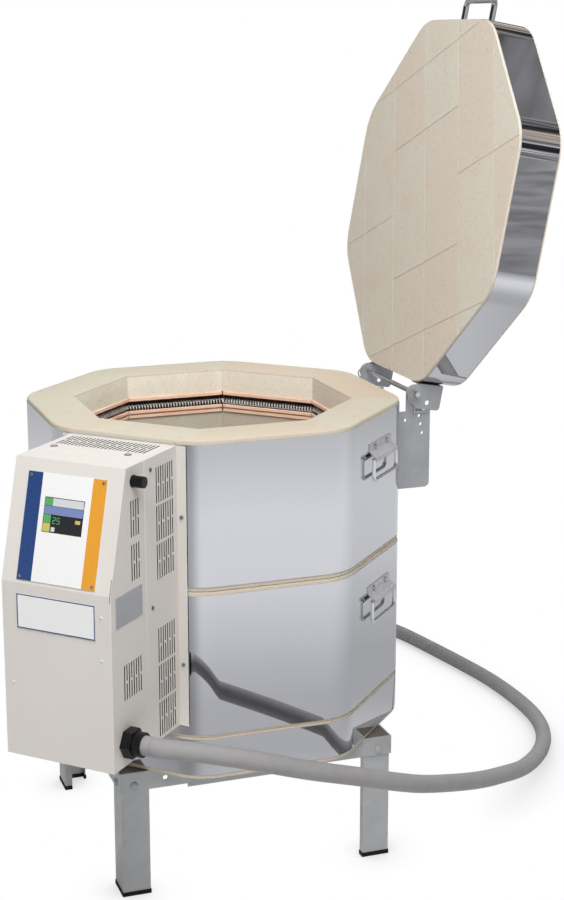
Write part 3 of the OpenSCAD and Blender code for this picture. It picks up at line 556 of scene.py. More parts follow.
def cross_head(radius):
    """A pan head with a cross recess, standing on its seat."""
    height, reach, half = radius * 0.62, radius * 0.55, radius * 0.14
    profile = [(radius, 0), (radius, height * 0.35), (radius * 0.93, height * 0.7), (radius * 0.72, height)]
    work, rings = lathe(profile, 20)
    top = next(f for f in work.faces if all(v in rings[-1] for v in f.verts))
    bmesh.ops.delete(work, geom=[top], context="FACES_ONLY")
    arm = [(reach, -half), (reach, half), (half, half)]
    outline = list(arm)
    for quarter in range(3):
        outline += [(-y, x) for x, y in outline[-3:]]
    rim = [work.verts.new(metres(x, y, height)) for x, y in outline]
    floor_ring = [work.verts.new(metres(x * 0.8, y * 0.8, height * 0.45)) for x, y in outline]
    edges = [work.edges.new((rim[k], rim[(k + 1) % 12])) for k in range(12)]
    outer = [e for e in work.edges if e.is_boundary and all(v in rings[-1] for v in e.verts)]
    bmesh.ops.bridge_loops(work, edges=edges + outer)
    skin(work, [rim, floor_ring], False)
    work.faces.new(floor_ring)
    bmesh.ops.recalc_face_normals(work, faces=work.faces)
    return work


def dome_head(radius, height):
    """A smooth domed head, as on a carriage bolt or a rivet."""
    turns = [math.radians(d) for d in (0, 20, 40, 58, 74, 85)]
    steps = [(radius * math.cos(a), height * (0.15 + 0.85 * math.sin(a))) for a in turns]
    return lathe([(radius, 0)] + steps, 24)[0]


# Geometry node trees

def new_tree(name, inputs):
    """An empty tree that takes geometry and the named inputs, with its in and out nodes."""
    tree = bpy.data.node_groups.new(name, "GeometryNodeTree")
    tree.interface.new_socket("Geometry", in_out="INPUT", socket_type="NodeSocketGeometry")
    for label, kind in inputs:
        tree.interface.new_socket(label, in_out="INPUT", socket_type="NodeSocket" + kind)
    tree.interface.new_socket("Geometry", in_out="OUTPUT", socket_type="NodeSocketGeometry")
    return tree, add(tree, "NodeGroupInput").outputs


def ended(tree, shape, material):
    """The tree, ended with plain geometry of one material."""
    real = add(tree, "GeometryNodeRealizeInstances", {"Geometry": shape})
    finished = add(tree, "GeometryNodeSetMaterial", {"Geometry": real, "Material": material})
    add(tree, "NodeGroupOutput", {"Geometry": finished})
    return tree


def run_tree(tree, carrier_mesh, values):
    """The plain mesh that a tree makes from a carrier, with its inputs set by identifier."""
    carrier = linked(tree.name, carrier_mesh)
    modifier = carrier.modifiers.new(tree.name, "NODES")
    modifier.node_group = tree
    for item in tree.interface.items_tree:
        if item.in_out == "INPUT" and item.name in values:
            modifier[item.identifier] = values[item.name]
    return evaluated(carrier)


def heads_tree():
    """One head on each point, turned to the point's aim and spun by a seeded random angle."""
    tree, given = new_tree("heads", [("Head", "Object"), ("Material", "Material"), ("Seed", "Int")])
    aim = add(tree, "GeometryNodeInputNamedAttribute", {"Name": "aim"}, data_type="FLOAT_VECTOR")
    facing = add(tree, "FunctionNodeAlignRotationToVector", {"Vector": aim}, axis="Z")
    spin = add(tree, "FunctionNodeRandomValue", {"Max": math.tau, "Seed": given["Seed"]}, data_type="FLOAT")
    about = add(tree, "FunctionNodeAxisAngleToRotation", {"Axis": (0, 0, 1), "Angle": spin})
    turned = add(tree, "FunctionNodeRotateRotation", {0: facing, 1: about}, rotation_space="LOCAL")
    head = add(tree, "GeometryNodeObjectInfo", {"Object": given["Head"]}).outputs["Geometry"]
    points = add(tree, "GeometryNodeMeshToPoints", {"Mesh": given["Geometry"]})
    placed = add(tree, "GeometryNodeInstanceOnPoints",
                 {"Points": points, "Instance": head, "Rotation": turned})
    return ended(tree, placed, given["Material"])


def coil_tree():
    """Winds a wire round the carrier's edges, which lie level, at a steady pitch."""
    tree, given = new_tree("coil", [("Coil radius", "Float"), ("Wire radius", "Float"), ("Pitch", "Float"),
                                    ("Steps per curl", "Float"), ("Material", "Material")])
    path = add(tree, "GeometryNodeMeshToCurve", {"Mesh": given["Geometry"]})
    step = add(tree, "Math", {0: given["Pitch"], 1: given["Steps per curl"]}, operation="DIVIDE")
    fine = add(tree, "GeometryNodeResampleCurve", {"Curve": path, "Length": step}, mode="LENGTH")
    along = add(tree, "GeometryNodeSplineParameter").outputs["Length"]
    turns = add(tree, "Math", {0: along, 1: given["Pitch"]}, operation="DIVIDE")
    angle = add(tree, "Math", {0: turns, 1: math.tau}, operation="MULTIPLY")
    way = add(tree, "GeometryNodeInputTangent")
    side = add(tree, "VectorMath", {0: way, 1: (0, 0, 1)}, operation="CROSS_PRODUCT")
    side = add(tree, "VectorMath", {0: side}, operation="NORMALIZE")
    cosine = add(tree, "Math", {0: angle}, operation="COSINE")
    sine = add(tree, "Math", {0: angle}, operation="SINE")
    up = add(tree, "VectorMath", {0: (0, 0, 1), "Scale": cosine}, operation="SCALE")
    out = add(tree, "VectorMath", {0: side, "Scale": sine}, operation="SCALE")
    both = add(tree, "VectorMath", {0: up, 1: out}, operation="ADD")
    offset = add(tree, "VectorMath", {0: both, "Scale": given["Coil radius"]}, operation="SCALE")
    wound = add(tree, "GeometryNodeSetPosition", {"Geometry": fine, "Offset": offset})
    section = add(tree, "GeometryNodeCurvePrimitiveCircle", {"Resolution": 6, "Radius": given["Wire radius"]})
    wire = add(tree, "GeometryNodeCurveToMesh", {"Curve": wound, "Profile Curve": section, "Fill Caps": True})
    return ended(tree, wire, given["Material"])


HEADS = heads_tree()
COIL = coil_tree()


def fasteners(name, places, head, material, body="kiln", instead_of=(), seed=1):
    """A set of like heads as one piece, on points that carry the way they aim."""
    carrier = bpy.data.meshes.new(name + "_places")
    carrier.from_pydata([place for place, _ in places], [], [])
    aims = carrier.attributes.new("aim", "FLOAT_VECTOR", "POINT")
    aims.data.foreach_set("vector", [x for _, aim in places for x in aim])
    pattern = linked(name + "_pattern", mesh_of(head, name))
    mesh = run_tree(HEADS, carrier, {"Head": pattern, "Material": material, "Seed": seed})
    bpy.data.objects.remove(pattern)
    piece(name, mesh, None, body, instead_of)


# Wraps

def octagon(af, radius, steps, tail=0):
    """Rounded octagon as (x, y) pairs in millimetres, its +Y flat moved out by the tail.

    Points close to each bend's ends keep the flats flat.
    """
    reach = (af / 2 - radius) / math.cos(math.pi / 8)
    shifts = {1: (-tail, tail), 2: (tail, tail)}
    bends = []
    for k in range(8):
        middle = math.tau * (k + 0.5) / 8
        x, y = np.add((reach * math.cos(middle), reach * math.sin(middle)), shifts.get(k, (0, 0)))
        turns = [math.tau * (k + i / steps) / 8 for i in range(steps + 1)]
        bends.append([(x + radius * math.cos(a), y + radius * math.sin(a)) for a in turns])
    shares = (0.01, 0.25, 0.5, 0.75, 0.99)
    points = []
    for before, bend in zip(bends[-1:] + bends, bends):
        (x0, y0), (x1, y1) = before[-1], bend[0]
        points += [(x0 + (x1 - x0) * share, y0 + (y1 - y0) * share) for share in shares]
        points += bend
    return points


def wrap_mesh(name, af, low, high, place=Matrix(), tail=0):
    """A band of mirror sheet round the octagon. Its sheared edges are rolled over a little, and matt."""
    work = bmesh.new()
    roll = 0.25
    levels = [(WRAP_T, low), (roll, low), (0, low + roll), (0, high - roll), (roll, high), (WRAP_T, high)]
    rings = [[work.verts.new(place @ metres(x, y, z))
              for x, y in octagon(af - 2 * inset, CORNER_R - inset, 12, tail)] for inset, z in levels]
    count = len(rings[0])
    for number, face in enumerate(skin(work, rings, True)):
        face.material_index = 0 if number // count in (2, 5) else 1
    return mesh_of(work, name, STAINLESS, SILVER)


def plate(name, corners, thick, material):
    """A thin plate from its outline in metres, as thick as the given vector."""
    work = bmesh.new()
    low = [work.verts.new(p) for p in corners]
    high = [work.verts.new(p + thick) for p in corners]
    skin(work, [low, high], False)
    work.faces.new(low[::-1])
    work.faces.new(high)
    bmesh.ops.recalc_face_normals(work, faces=work.faces)
    piece(name, mesh_of(work, name), material)


def patch(name, place, out, edges, thick, material):
    """A thin rectangle on a plane of the box or a face of the kiln, by its edges in millimetres."""
    left, low, right, high = edges
    corners = [place(out, u, up) for u, up in ((left, low), (right, low), (right, high), (left, high))]
    plate(name, corners, thick, material)


SEAM_FACE = math.radians(135)
SEAM_HALF = 11.0
SEAM_GAP = 0.05


def lap_seam(name, low, high):
    """Where the wrap's ends overlap at the back: a strip of the same sheet held by a column of screws."""
    off = on_face(SEAM_FACE, 1, 0, 0) - on_face(SEAM_FACE, 0, 0, 0)
    patch(name + "_seam", partial(on_face, SEAM_FACE), SEAM_GAP, (-SEAM_HALF, low, SEAM_HALF, high),
          off * WRAP_T, STAINLESS)
    count = 3 if high - low > 100 else 2
    heights = [low + (high - low) * (k + 0.5) / count for k in range(count)]
    places = [(on_face(SEAM_FACE, SEAM_GAP + WRAP_T, 0, z), off.normalized()) for z in heights]
    fasteners(name + "_seam_screws", places, cross_head(3.5), ZINC)


def wraps():
    middle = SLAB_TOP + SECTION_H
    for name, low, high in (("floor_wrap", STAND_H + BARE_H, SLAB_TOP - SEAM_H),
                            ("lower_wrap", SLAB_TOP + SEAM_H, middle - BARE_H),
                            ("upper_wrap", middle + BARE_H, RIM - BARE_H)):
        piece(name + "_sheet", wrap_mesh(name, 2 * FACE, low, high), None, "kiln", [name])
        lap_seam(name, low, high)
    low, high = LID_SEAT + LID_BARE[0], LID_SEAT + LID_H - LID_BARE[1]
    band = wrap_mesh("lid_band", LID_AF, low, high, LID_SWING, LID_TAIL)
    piece("lid_band_sheet", band, None, "lid", ["lid_band"])


# Bricks

def brick_ring(section):
    """A section's eight bricks: rounded rims, two grooves for the holders, and a hot face inside."""
    low, high = SLAB_TOP + SECTION_H * section, SLAB_TOP + SECTION_H * (section + 1)
    soft, worn, fit, slack = 3.0, 0.8, 0.3, 0.2
    outer, inner, groove = FACE - WRAP_T - slack, FACE - WALL, HOLDER_IN + HOLDER_DEPTH + fit
    turns = [math.radians(d) for d in (0, 30, 60, 90)]
    round_over = [(soft - soft * math.cos(a), soft - soft * math.sin(a)) for a in turns]
    profile = [(outer, low + worn)]
    profile += [(outer - back, high - drop) for back, drop in round_over]
    profile += [(inner + back, high - drop) for back, drop in reversed(round_over)]
    hot = len(profile) - 1
    for drop in reversed(ROW_DROPS):
        top, bottom = high - drop + HOLDER_H / 2 + fit, high - drop - HOLDER_H / 2 - fit
        profile += [(inner, top), (groove, top), (groove, bottom), (inner, bottom)]
    profile += [(inner, low + worn), (inner + worn, low), (outer - worn, low)]
    work = bmesh.new()
    rings = []
    for apothem, z in profile:
        bend = CORNER_R - FACE + apothem if apothem > FACE - 2 * soft else 0
        rings.append([work.verts.new(metres(x, y, z)) for x, y in octagon(2 * apothem, bend, 8)])
    faces = skin(work, rings, True)
    count = len(rings[0])
    for number, face in enumerate(faces):
        face.material_index = 1 if number // count >= hot else 0
    bmesh.ops.remove_doubles(work, verts=work.verts, dist=1e-6)
    bmesh.ops.recalc_face_normals(work, faces=work.faces)
    return mesh_of(work, "bricks", RIM_BRICK, HOT_FACE)


def bricks():
    for section, name in enumerate(("lower_bricks", "upper_bricks")):
        piece(name + "_ring", brick_ring(section), None, "kiln", [name])
    softened("floor_slab", RIM_BRICK, 1.5)
    softened("lid_slab", LID_BRICK, 0.8, "lid", shortest=20)


# Elements and holders

# Section of a holder from its lower front corner, as (out, up) pairs and the clay of the face that
# follows: a square back, a top lip, an open trough for the coil, and two ridges below it
HOLDER_TOP = HOLDER_H / 2
HOLDER_SECTION = [
    (0, -HOLDER_TOP, HOLDER), (HOLDER_DEPTH, -HOLDER_TOP, HOLDER), (HOLDER_DEPTH, HOLDER_TOP, HOLDER),
    (0.8, HOLDER_TOP, HOLDER), (0, HOLDER_TOP - 0.8, HOLDER), (0, 12, TROUGH_PAINTED_SHADE), (0.8, 11.2, TROUGH_PAINTED_SHADE),
    (19, 11.2, TROUGH_PAINTED_SHADE), (19, -6.8, TROUGH_PAINTED_SHADE), (3, -6.8, TROUGH_PAINTED_SHADE), (3, -5.8, HOLDER), (2.2, -5, HOLDER),
    (0.8, -5, HOLDER), (0, -5.8, HOLDER), (0, -10, RIDGE), (1.4, -10.7, RIDGE), (1.4, -12, RIDGE),
    (0, -12.7, HOLDER)]
HOLDER_JOINT = 1.2


def holders(section):
    """Sixteen mitred holders, with a dark joint at every corner of the chamber."""
    clays = [HOLDER, TROUGH_PAINTED_SHADE, RIDGE]
    work = bmesh.new()
    for drop in ROW_DROPS:
        middle = SLAB_TOP + SECTION_H * (section + 1) - drop
        for k in range(8):
            ends = []
            for side in (-1, 1):
                ring = []
                for out, up, _ in HOLDER_SECTION:
                    u = side * ((HOLDER_IN + out) * HALF_OCTANT - HOLDER_JOINT)
                    place = on_face(math.tau * k / 8, HOLDER_IN + out - FACE, u, middle + up)
                    ring.append(work.verts.new(place))
                ends.append(ring)
            for face, (_, _, clay) in zip(skin(work, ends, False), HOLDER_SECTION):
                face.material_index = clays.index(clay)
            work.faces.new(ends[0])
            work.faces.new(ends[1][::-1])
    bmesh.ops.recalc_face_normals(work, faces=work.faces)
    return mesh_of(work, "holders", *clays)


def coil_path(z):
    """Level path of an element round the chamber, open at the control box."""
    out = COIL_AT - FACE
    corners = [on_face(BOX_FACE + math.tau * k / 8, out, COIL_AT * HALF_OCTANT, z) for k in range(8)]
    points = [on_face(BOX_FACE, out, TAIL_U, z), *corners, on_face(BOX_FACE, out, -TAIL_U, z)]
    mesh = bpy.data.meshes.new("coil_path")
    mesh.from_pydata(points, [(k, k + 1) for k in range(len(points) - 1)], [])
    return mesh


def elements():
    sizes = {"Coil radius": COIL_R / 1000, "Wire radius": WIRE_D / 2000, "Pitch": COIL_PITCH / 1000,
             "Steps per curl": 12.0, "Material": WIRE}
    for section, name in enumerate(("lower", "upper")):
        for row, drop in enumerate(ROW_DROPS):
            element = f"element_{2 * section + row + 1}"
            mesh = run_tree(COIL, coil_path(SLAB_TOP + SECTION_H * (section + 1) - drop - COIL_DROP), sizes)
            piece(element + "_coil", mesh, None, "kiln", [element], 60)
        piece(name + "_holder_row", holders(section), None, "kiln", [name + "_holders"])


# Conduit

def conduit():
    """Smooth power conduit from the gland to its plug, on the route of the part's source."""
    start = BOX_W / 2 + GLAND_LONG
    straight = (start, start + CONDUIT_D / 2, start + CONDUIT_D)
    gland = [on_face(BOX_FACE, GLAND_D, u, GLAND_Z) for u in straight]
    route = [
        (432, -155, 318), (440, -85, 300), (424, 5, 265), (392, 100, 226), (358, 180, 190), (316, 250, 158),
        (228, 372, 106), (152, 465, 70), (88, 536, 44), (12, 606, 26), (-66, 660, 16), (-140, 690, 15),
        (-220, 702, 15), (-320, 702, 15), (-412, 692, 15), (-570, 662, 15), (-672, 638, 15), (-735, 608, 16),
        (-775, 560, 20), (-790, 500, 26), (-790, 485, 26), (-790, 470, 26)]
    points = gland + [metres(*p) for p in route]
    curve = bpy.data.curves.new("power_conduit", "CURVE")
    curve.dimensions = "3D"
    curve.bevel_depth = CONDUIT_D / 2000
    curve.bevel_resolution = 6
    curve.use_fill_caps = True
    spline = curve.splines.new("BEZIER")
    spline.resolution_u = 10
    last = len(points) - 1
    spline.bezier_points.add(last)
    for i, p in enumerate(points):
        reach = (points[min(i + 1, last)] - points[max(i - 1, 0)]) / 6
        knot = spline.bezier_points[i]
        knot.handle_left_type = "FREE"
        knot.handle_right_type = "FREE"
        knot.co = p
        knot.handle_left = p - reach
        knot.handle_right = p + reach
    curve.materials.append(JACKET)
    made = linked("power_conduit", curve)
    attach(made, "kiln")
    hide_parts("conduit")


# Carried-over nodes

def line_inside(box):
    """Painted shade on the box's inside and in the cut edges of its vents: a dark lining that keeps the slots
    dark.
    """
    box.data.materials.append(PAINTED_SHADE_LINING)
    c, s = math.cos(BOX_FACE), math.sin(BOX_FACE)
    for face in box.data.polygons:
        x, y, z = face.center * 1000
        out, u, height = c * x + s * y - FACE, c * y - s * x, z - BOX_Z
        front = FRONT_D - max(height - BEND_H, 0) * math.tan(SLOPE)
        deep = min(front - out, BOX_W / 2 - abs(u), height, BOX_H - height)
        face.material_index = 1 if deep > 0.35 * SHEET_T else 0


# CAD nodes whose edges are rounded: material, width in millimetres and slot
ROUNDED = {
    "stand_frame": (LEG_STEEL, 0.6, "galvanised"), "legs": (LEG_STEEL, 0.8, "galvanised"),
    "foot_trims": (RUBBER, 0.4, "trim"), "lid_handle": (CHROME, 0.5, "chrome"),
    "hinge_rod": (CHROME, 0.6, "bright_screw"), "hitch_clips": (ZINC, 0.1, "bright_screw"),
    "drop_brackets": (BRACKET_STEEL, 0.4, "chrome"), "fuse_holder": (NYLON, 0.4, "black_plastic"),
    "fuse_cap": (NYLON, 0.3, "black_plastic"), "cord_gland": (NYLON, 0.6, "black_plastic"),
    "rating_plate": (SILVER, 0.15, "silver_plate")}
HINGES = ("lid_arm_right", "lid_arm_left", "hinge_plate_right", "hinge_plate_left")
ROUNDED.update({hinge: (HINGE_STEEL, 0.5, "hinge_steel") for hinge in HINGES})
BAILS = [f"bail_{k}" for k in range(1, 5)]
ROUNDED.update({bail: (CHROME, 0.1, "chrome") for bail in BAILS})
ROUND_BARS = BAILS + ["hitch_clips"]
BODIES = {"lid_handle": "lid", "lid_arm_right": "lid", "lid_arm_left": "lid", "fuse_cap": "fuse_cap"}
BODIES.update({bail: bail for bail in BAILS})


def finish_nodes():
    """Materials of the CAD nodes that stay, most of them inside the boxes or the wall."""
    kept = {"slab_pan": LEG_STEEL, "bushings": PORCELAIN, "terminals": BRASS,
            "thermocouples": PORCELAIN, "controller_board": GREEN_BOARD, "relays": NYLON, "transformer": CORE,
            "terminal_block": PORCELAIN, "plug_body": NYLON, "plug_blades": BRASS}
    for name, material in kept.items():
        nodes[name].data.materials.clear()
        nodes[name].data.materials.append(material)
    # The corner gussets' dark colour is painted shade on the stand's top corners
    for k in range(4):
        turn = Matrix.Rotation(math.tau * k / 4, 3, "Z")
        inner = GUSSET - GUSSET_LEG
        places = ((GUSSET, GUSSET), (inner, GUSSET), (GUSSET, inner))
        corners = [turn @ metres(x, y, STAND_H - GUSSET_GAP - GUSSET_T) for x, y in places]
        plate(f"corner_gusset_{k + 1}", corners, metres(0, 0, GUSSET_T), DARK_STEEL_AND_SHADE)
    for node in ("terminal_box", "control_box", "mid_panel"):
        line_inside(softened(node, PAINT, 0.6, shortest=60))
    for node, (material, width, slot) in ROUNDED.items():
        body = BODIES.get(node, "kiln")
        softened(node, material, width, body, 60 if node in ROUND_BARS else 32)


# Head radius, in millimetres, and body of each set of screws
SCREW_SETS = {"drop_screws": (4.0, "kiln"), "hinge_screws": (4.0, "kiln"), "flange_screws": (3.5, "kiln"),
              "panel_screws": (2.5, "kiln"), "box_screws": (3.0, "kiln"), "arm_screws": (4.0, "lid"),
              "lid_handle_screws": (3.5, "lid")}


def screws():
    for number, (name, (radius, body)) in enumerate(SCREW_SETS.items()):
        metal = DARK_STEEL_AND_SHADE if name == "box_screws" else ZINC
        fasteners(name + "_heads", screw_places(name), cross_head(radius), metal, body, instead_of=[name],
                  seed=number + 3)
    fasteners("stand_bolt_heads", screw_places("stand_bolts", 5.0), dome_head(6.4, 4.2), SILVER,
              instead_of=["stand_bolts"])
    top = [(on_box(out, u, BOX_H), Vector((0, 0, 1))) for out, u in TOP_SCREWS]
    # A dark disc under each head on the box's top
    fasteners("box_top_washers", top, lathe([(5.4, 0), (5.4, 0.6)], 24)[0], DARK_STEEL_AND_SHADE)
    fasteners("box_top_screws", top, cross_head(3.8), SILVER, seed=2)
    studs = [(on_box(FRONT_D, u, z), OUTWARD.normalized()) for u, z in STUDS]
    fasteners("front_studs", studs, dome_head(2.6, 1.3), PAINT)


# Control front

# Bars of a plain seven-bar digit, as their ends on a grid one wide and two high
DIGIT_BARS = {"top": (0, 2, 1, 2), "upper_left": (0, 1, 0, 2), "upper_right": (1, 1, 1, 2),
              "middle": (0, 1, 1, 1), "lower_left": (0, 0, 0, 1), "lower_right": (1, 0, 1, 1),
              "bottom": (0, 0, 1, 0)}
TWO = ("top", "upper_right", "middle", "lower_left", "bottom")
FIVE = ("top", "upper_left", "middle", "lower_right", "bottom")


def digit(name, bars, left, low):
    for key in bars:
        u0, z0, u1, z1 = (DIGIT_W * x for x in DIGIT_BARS[key])
        edges = (left + u0 - BAR_HALF, low + z0 - BAR_HALF, left + u1 + BAR_HALF, low + z1 + BAR_HALF)
        patch(f"{name}_{key}", on_slope, PANEL_T + 2 * TILE_T, edges, OFF_SLOPE * TILE_T, GREEN_TILE)


def control_front():
    """Overlay of plain bands round a lit display, and a bare name plate with a border."""
    softened("graphic_panel", WHITE_FILM, 0.2)
    softened("touch_screen", GLASS, 0.2)
    edge, low, high = PANEL_W / 2, PANEL_LOW, PANEL_LOW + PANEL_H
    bands = {"blue": (-edge, low, -edge + BLUE_BAND, high, BLUE_FILM),
             "orange": (edge - ORANGE_BAND, low, edge, high, ORANGE_FILM)}
    for name, (*edges, ink) in bands.items():
        patch(f"overlay_{name}_band", on_slope, PANEL_T, edges, OFF_SLOPE * FILM_T, ink)
    left, right = -SCREEN_W / 2 + SCREEN_EDGE, SCREEN_W / 2 - SCREEN_EDGE
    low, top = SCREEN_LOW + SCREEN_EDGE, SCREEN_LOW + SCREEN_H - SCREEN_EDGE
    split = left + KEY_W
    first, second, third = (top - drop for drop in (11, 23, 35))
    tiles = {"mode": (left, first, split, top, GREEN_TILE),
             "state": (split + TILE_GAP, first, right, top, WHITE_TILE),
             "banner": (left, second, right, first - TILE_GAP, BLUE_TILE),
             "upper_key": (left, third, split, second - TILE_GAP, GREEN_TILE),
             "lower_key": (left, low, split, third - TILE_GAP, YELLOW_TILE),
             "timer": (right - 11, third + 3, right - 3, third + 8, YELLOW_TILE),
             "hint": (split + 2, low + 1, split + 8, low + 7, WHITE_TILE)}
    for name, (*edges, light) in tiles.items():
        patch(f"display_{name}", on_slope, PANEL_T + TILE_T, edges, OFF_SLOPE * TILE_T, light)
    for name, bars, along in (("tens", TWO, 3.5), ("ones", FIVE, 10.5)):
        digit(f"display_{name}", bars, split + along, third)
    softened("name_plate", WHITE_FILM, 0.2)
    low, high, inner = PLATE_LOW, PLATE_LOW + PLATE_H, edge - BORDER_W
    borders = {"left": (-edge, low, -inner, high), "right": (inner, low, edge, high),
               "low": (-inner, low, inner, low + BORDER_W), "high": (-inner, high - BORDER_W, inner, high)}
    for name, edges in borders.items():
        patch(f"name_plate_border_{name}", on_box, FRONT_D + PANEL_T, edges, OUTWARD * BORDER_T, BLUE_FILM)
    # Dark strips at the box's front corner: painted shade standing for the open slit between its sheets
    left, right = BOX_W / 2 - 2 * SLIT_W, BOX_W / 2 - SLIT_W
    slits = {"low": (on_box, FRONT_D, (left, BEND_H - 9, right, BEND_H), OUTWARD),
             "high": (on_slope, 0, (left, 0, right, 24), OFF_SLOPE)}
    for name, (place, out, edges, off) in slits.items():
        patch(f"corner_slit_{name}", place, out, edges, off * TILE_T, NYLON)


conduit()
wraps()
bricks()
elements()
finish_nodes()
screws()
control_front()


# Stage

IMAGE_W = 564
IMAGE_H = 900
FOCAL_PX = 1686.715
CENTRE_PX = (218.40, 391.45)
CAMERA_AT = (2.53104, -0.80541, 1.30742)
CAMERA_TURN = (1.25869713, 0.211875, -0.00886467)
SENSOR = 36


def camera():
    """At the photograph's place, angle and framing."""
    azimuth, pitch, roll = CAMERA_TURN
    turn = (Matrix.Rotation(azimuth, 4, "Z") @ Matrix.Rotation(math.pi / 2 - pitch, 4, "X")
            @ Matrix.Rotation(roll, 4, "Z"))
    data = bpy.data.cameras.new("camera")
    data.sensor_width = SENSOR
    data.lens = SENSOR * FOCAL_PX / IMAGE_H
    data.shift_x = (IMAGE_W / 2 - CENTRE_PX[0]) / IMAGE_H
    data.shift_y = -(IMAGE_H / 2 - CENTRE_PX[1]) / IMAGE_H
    data.clip_end = 100
    made = linked("camera", data)
    made.matrix_world = Matrix.Translation(CAMERA_AT) @ turn
    bpy.context.scene.camera = made


def by_ray(tree, plain, mirrored, seen):
    """A mix of what lights the kiln, what polished metal sees and what the eye sees."""
    ray = add(tree, "LightPath").outputs
    lit = add(tree, "MixShader", {0: ray["Is Glossy Ray"], 1: plain, 2: mirrored})
    clear = add(tree, "Math", {0: ray["Is Camera Ray"], 1: ray["Is Transmission Ray"]}, operation="MAXIMUM")
    return add(tree, "MixShader", {0: clear, 1: lit, 2: seen})


def patchy(tree, at, scale, distortion, low, high, share):
    """A strength of one that by the share turns to patches between low and high."""
    noise = add(tree, "TexNoise", {"Vector": at, "Scale": scale, "Detail": 3.0, "Distortion": distortion})
    uneven = add(tree, "MapRange", {"Value": noise, "From Min": 0.35, "From Max": 0.65,
                                    "To Min": low, "To Max": high})
    return add(tree, "Mix", {"Factor": share, "A": 1.0, "B": uneven})


# Grey that polished metal sees on the floor, by distance from the kiln's middle in metres
FLOOR_POOL = [
    (0.0, 0.84), (0.62, 0.8), (0.8, 0.6), (1.05, 0.6), (1.2, 0.66), (1.4, 0.77), (1.68, 0.9), (1.9, 0.955),
    (2.35, 0.965), (2.65, 0.89), (3.0, 0.79), (3.6, 0.66), (5.0, 0.42), (6.0, 0.31)]


def floor():
    """Pale floor with a painted soft contact shadow; polished metal sees it as a lit pool, with a painted
    reflection of the control box and painted patches far off.
    """
    mesh = bpy.data.meshes.new("floor")
    half = 12
    corners = [(x * half, y * half, 0) for x, y in ((-1, -1), (1, -1), (1, 1), (-1, 1))]
    mesh.from_pydata(corners, [], [(0, 1, 2, 3)])
    made = linked("floor", mesh)
    paper, tree, coords = new_material("floor_paper")
    mesh.materials.append(paper)
    # Painted contact shadow: the floor the eye sees is darkened near the kiln by ambient occlusion
    near = add(tree, "AmbientOcclusion", {"Distance": 0.07}, samples=8).outputs["AO"]
    shade = add(tree, "MapRange", {"Value": near, "From Min": 0.25, "From Max": 0.95, "To Min": 0.62})
    seen = add(tree, "Emission", {"Color": (1, 1, 1, 1), "Strength": shade})
    away = add(tree, "VectorMath", {0: coords}, operation="LENGTH")
    share = add(tree, "MapRange", {"Value": away, "From Max": FLOOR_POOL[-1][0]})
    pool = add(tree, "ValToRGB", {"Fac": share})
    fill_ramp(pool.color_ramp, [(at / FLOOR_POOL[-1][0], level) for at, level in FLOOR_POOL])
    across = add(tree, "SeparateXYZ", {0: coords})
    side = add(tree, "MapRange", {"Value": across, "From Min": -0.5, "From Max": 1.1, "To Min": 0.8})
    # Painted reflection of the control box: the pool dims towards the box's side, so the wraps beside it read
    # darker
    turn = add(tree, "Math", {0: across.outputs[1], 1: across.outputs[0]}, operation="ARCTAN2")
    turn = add(tree, "Math", {0: turn, 1: -BOX_FACE}, operation="ADD")
    turn = add(tree, "Math", {0: turn}, operation="ABSOLUTE")
    box_reflection_dimming = add(tree, "MapRange", {"Value": turn, "From Min": math.radians(5), "From Max": math.radians(30),
                                  "To Min": 0.55}, interpolation_type="SMOOTHSTEP")
    side = add(tree, "Math", {0: side, 1: box_reflection_dimming}, operation="MULTIPLY")
    # Painted reflection: patches in the pool beyond 4.5 m, seen only in polished metal
    far = add(tree, "MapRange", {"Value": away, "From Min": 4.5, "From Max": 6.5})
    far_reflected_patches = patchy(tree, coords, 1.3, 1.2, 0.75, 1.3, far)
    side = add(tree, "Math", {0: side, 1: far_reflected_patches}, operation="MULTIPLY")
    mirrored = add(tree, "Emission", {"Color": pool, "Strength": side})
    plain = add(tree, "BsdfDiffuse", {"Color": (0.8, 0.8, 0.8, 1)})
    add(tree, "OutputMaterial", {"Surface": by_ray(tree, plain, mirrored, seen)})


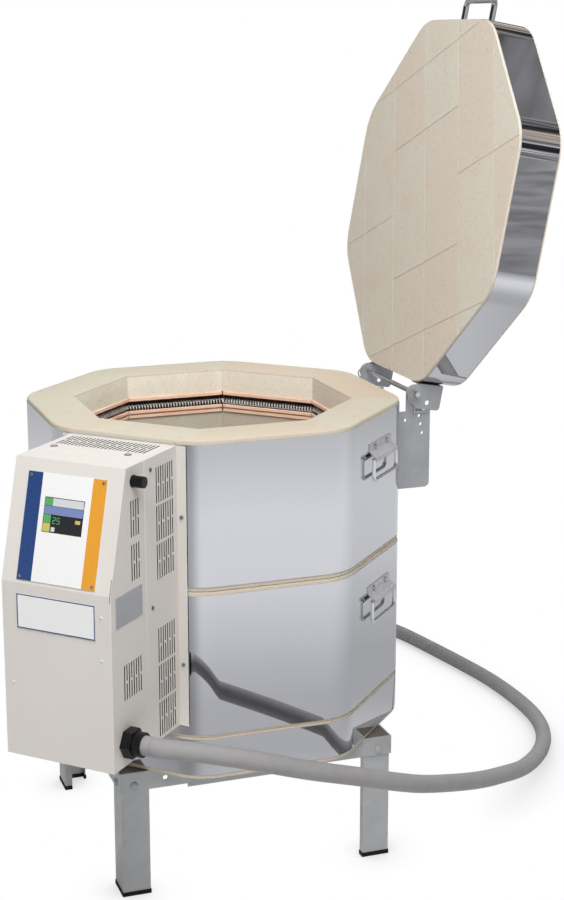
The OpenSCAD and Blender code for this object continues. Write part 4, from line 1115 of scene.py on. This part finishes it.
# Grey that polished metal sees in the room, by the sine of its height from just below level to straight up
ROOM = [
    (0.0, 0.33), (0.1, 0.31), (0.19, 0.45), (0.24, 0.55), (0.27, 0.03), (0.39, 0.02), (0.42, 0.7),
    (0.45, 0.6), (0.48, 0.08), (0.52, 0.3, 0.15), (0.68, 0.34, 0.18), (0.71, 0.03), (0.755, 0.03),
    (0.775, 0.2), (0.86, 0.19), (1.0, 0.4)]

# Square soft lamps, aimed at the kiln's middle and unseen in its metal: place, width in metres and watts
LAMPS = {"front": ((1.7, -0.55, 3.1), 2.0, 112), "back": ((-2.2, 1.6, 2.4), 2.0, 40)}
LAMP_AIM = Vector((0, 0, 0.7))
SOFT_LIGHT = 0.25


def studio():
    """Soft light from all round and large lamps; the eye sees a white backdrop, and metal a grey room."""
    world = bpy.data.worlds.new("studio")
    bpy.context.scene.world = world
    world.use_nodes = True
    tree = world.node_tree
    tree.nodes.clear()
    way = add(tree, "TexCoord").outputs["Generated"]
    height = add(tree, "SeparateXYZ", {0: way}).outputs[2]
    share = add(tree, "MapRange", {"Value": height, "From Min": -0.1})
    room = add(tree, "ValToRGB", {"Fac": share})
    fill_ramp(room.color_ramp, ROOM)
    white = add(tree, "Background", {"Color": (1, 1, 1, 1), "Strength": 1.0})
    soft = add(tree, "Background", {"Color": (1, 1, 1, 1), "Strength": SOFT_LIGHT})
    streaks = add(tree, "Mapping", {"Vector": way, "Scale": (1, 1, 3)})
    high = add(tree, "MapRange", {"Value": height, "From Min": -0.14, "From Max": -0.08})
    blots = patchy(tree, streaks, 6.0, 1.5, 0.4, 2.0, high)
    grey = add(tree, "Background", {"Color": room, "Strength": blots})
    add(tree, "OutputWorld", {"Surface": by_ray(tree, soft, grey, white)})
    for name, (place, wide, watts) in LAMPS.items():
        data = bpy.data.lights.new(name, "AREA")
        data.shape = "SQUARE"
        data.size = wide
        data.energy = watts
        made = linked(name, data)
        made.location = place
        made.rotation_euler = (LAMP_AIM - made.location).to_track_quat("-Z", "Y").to_euler()
        made.visible_glossy = False


camera()
floor()
studio()
bpy.context.scene.view_settings.view_transform = "Standard"
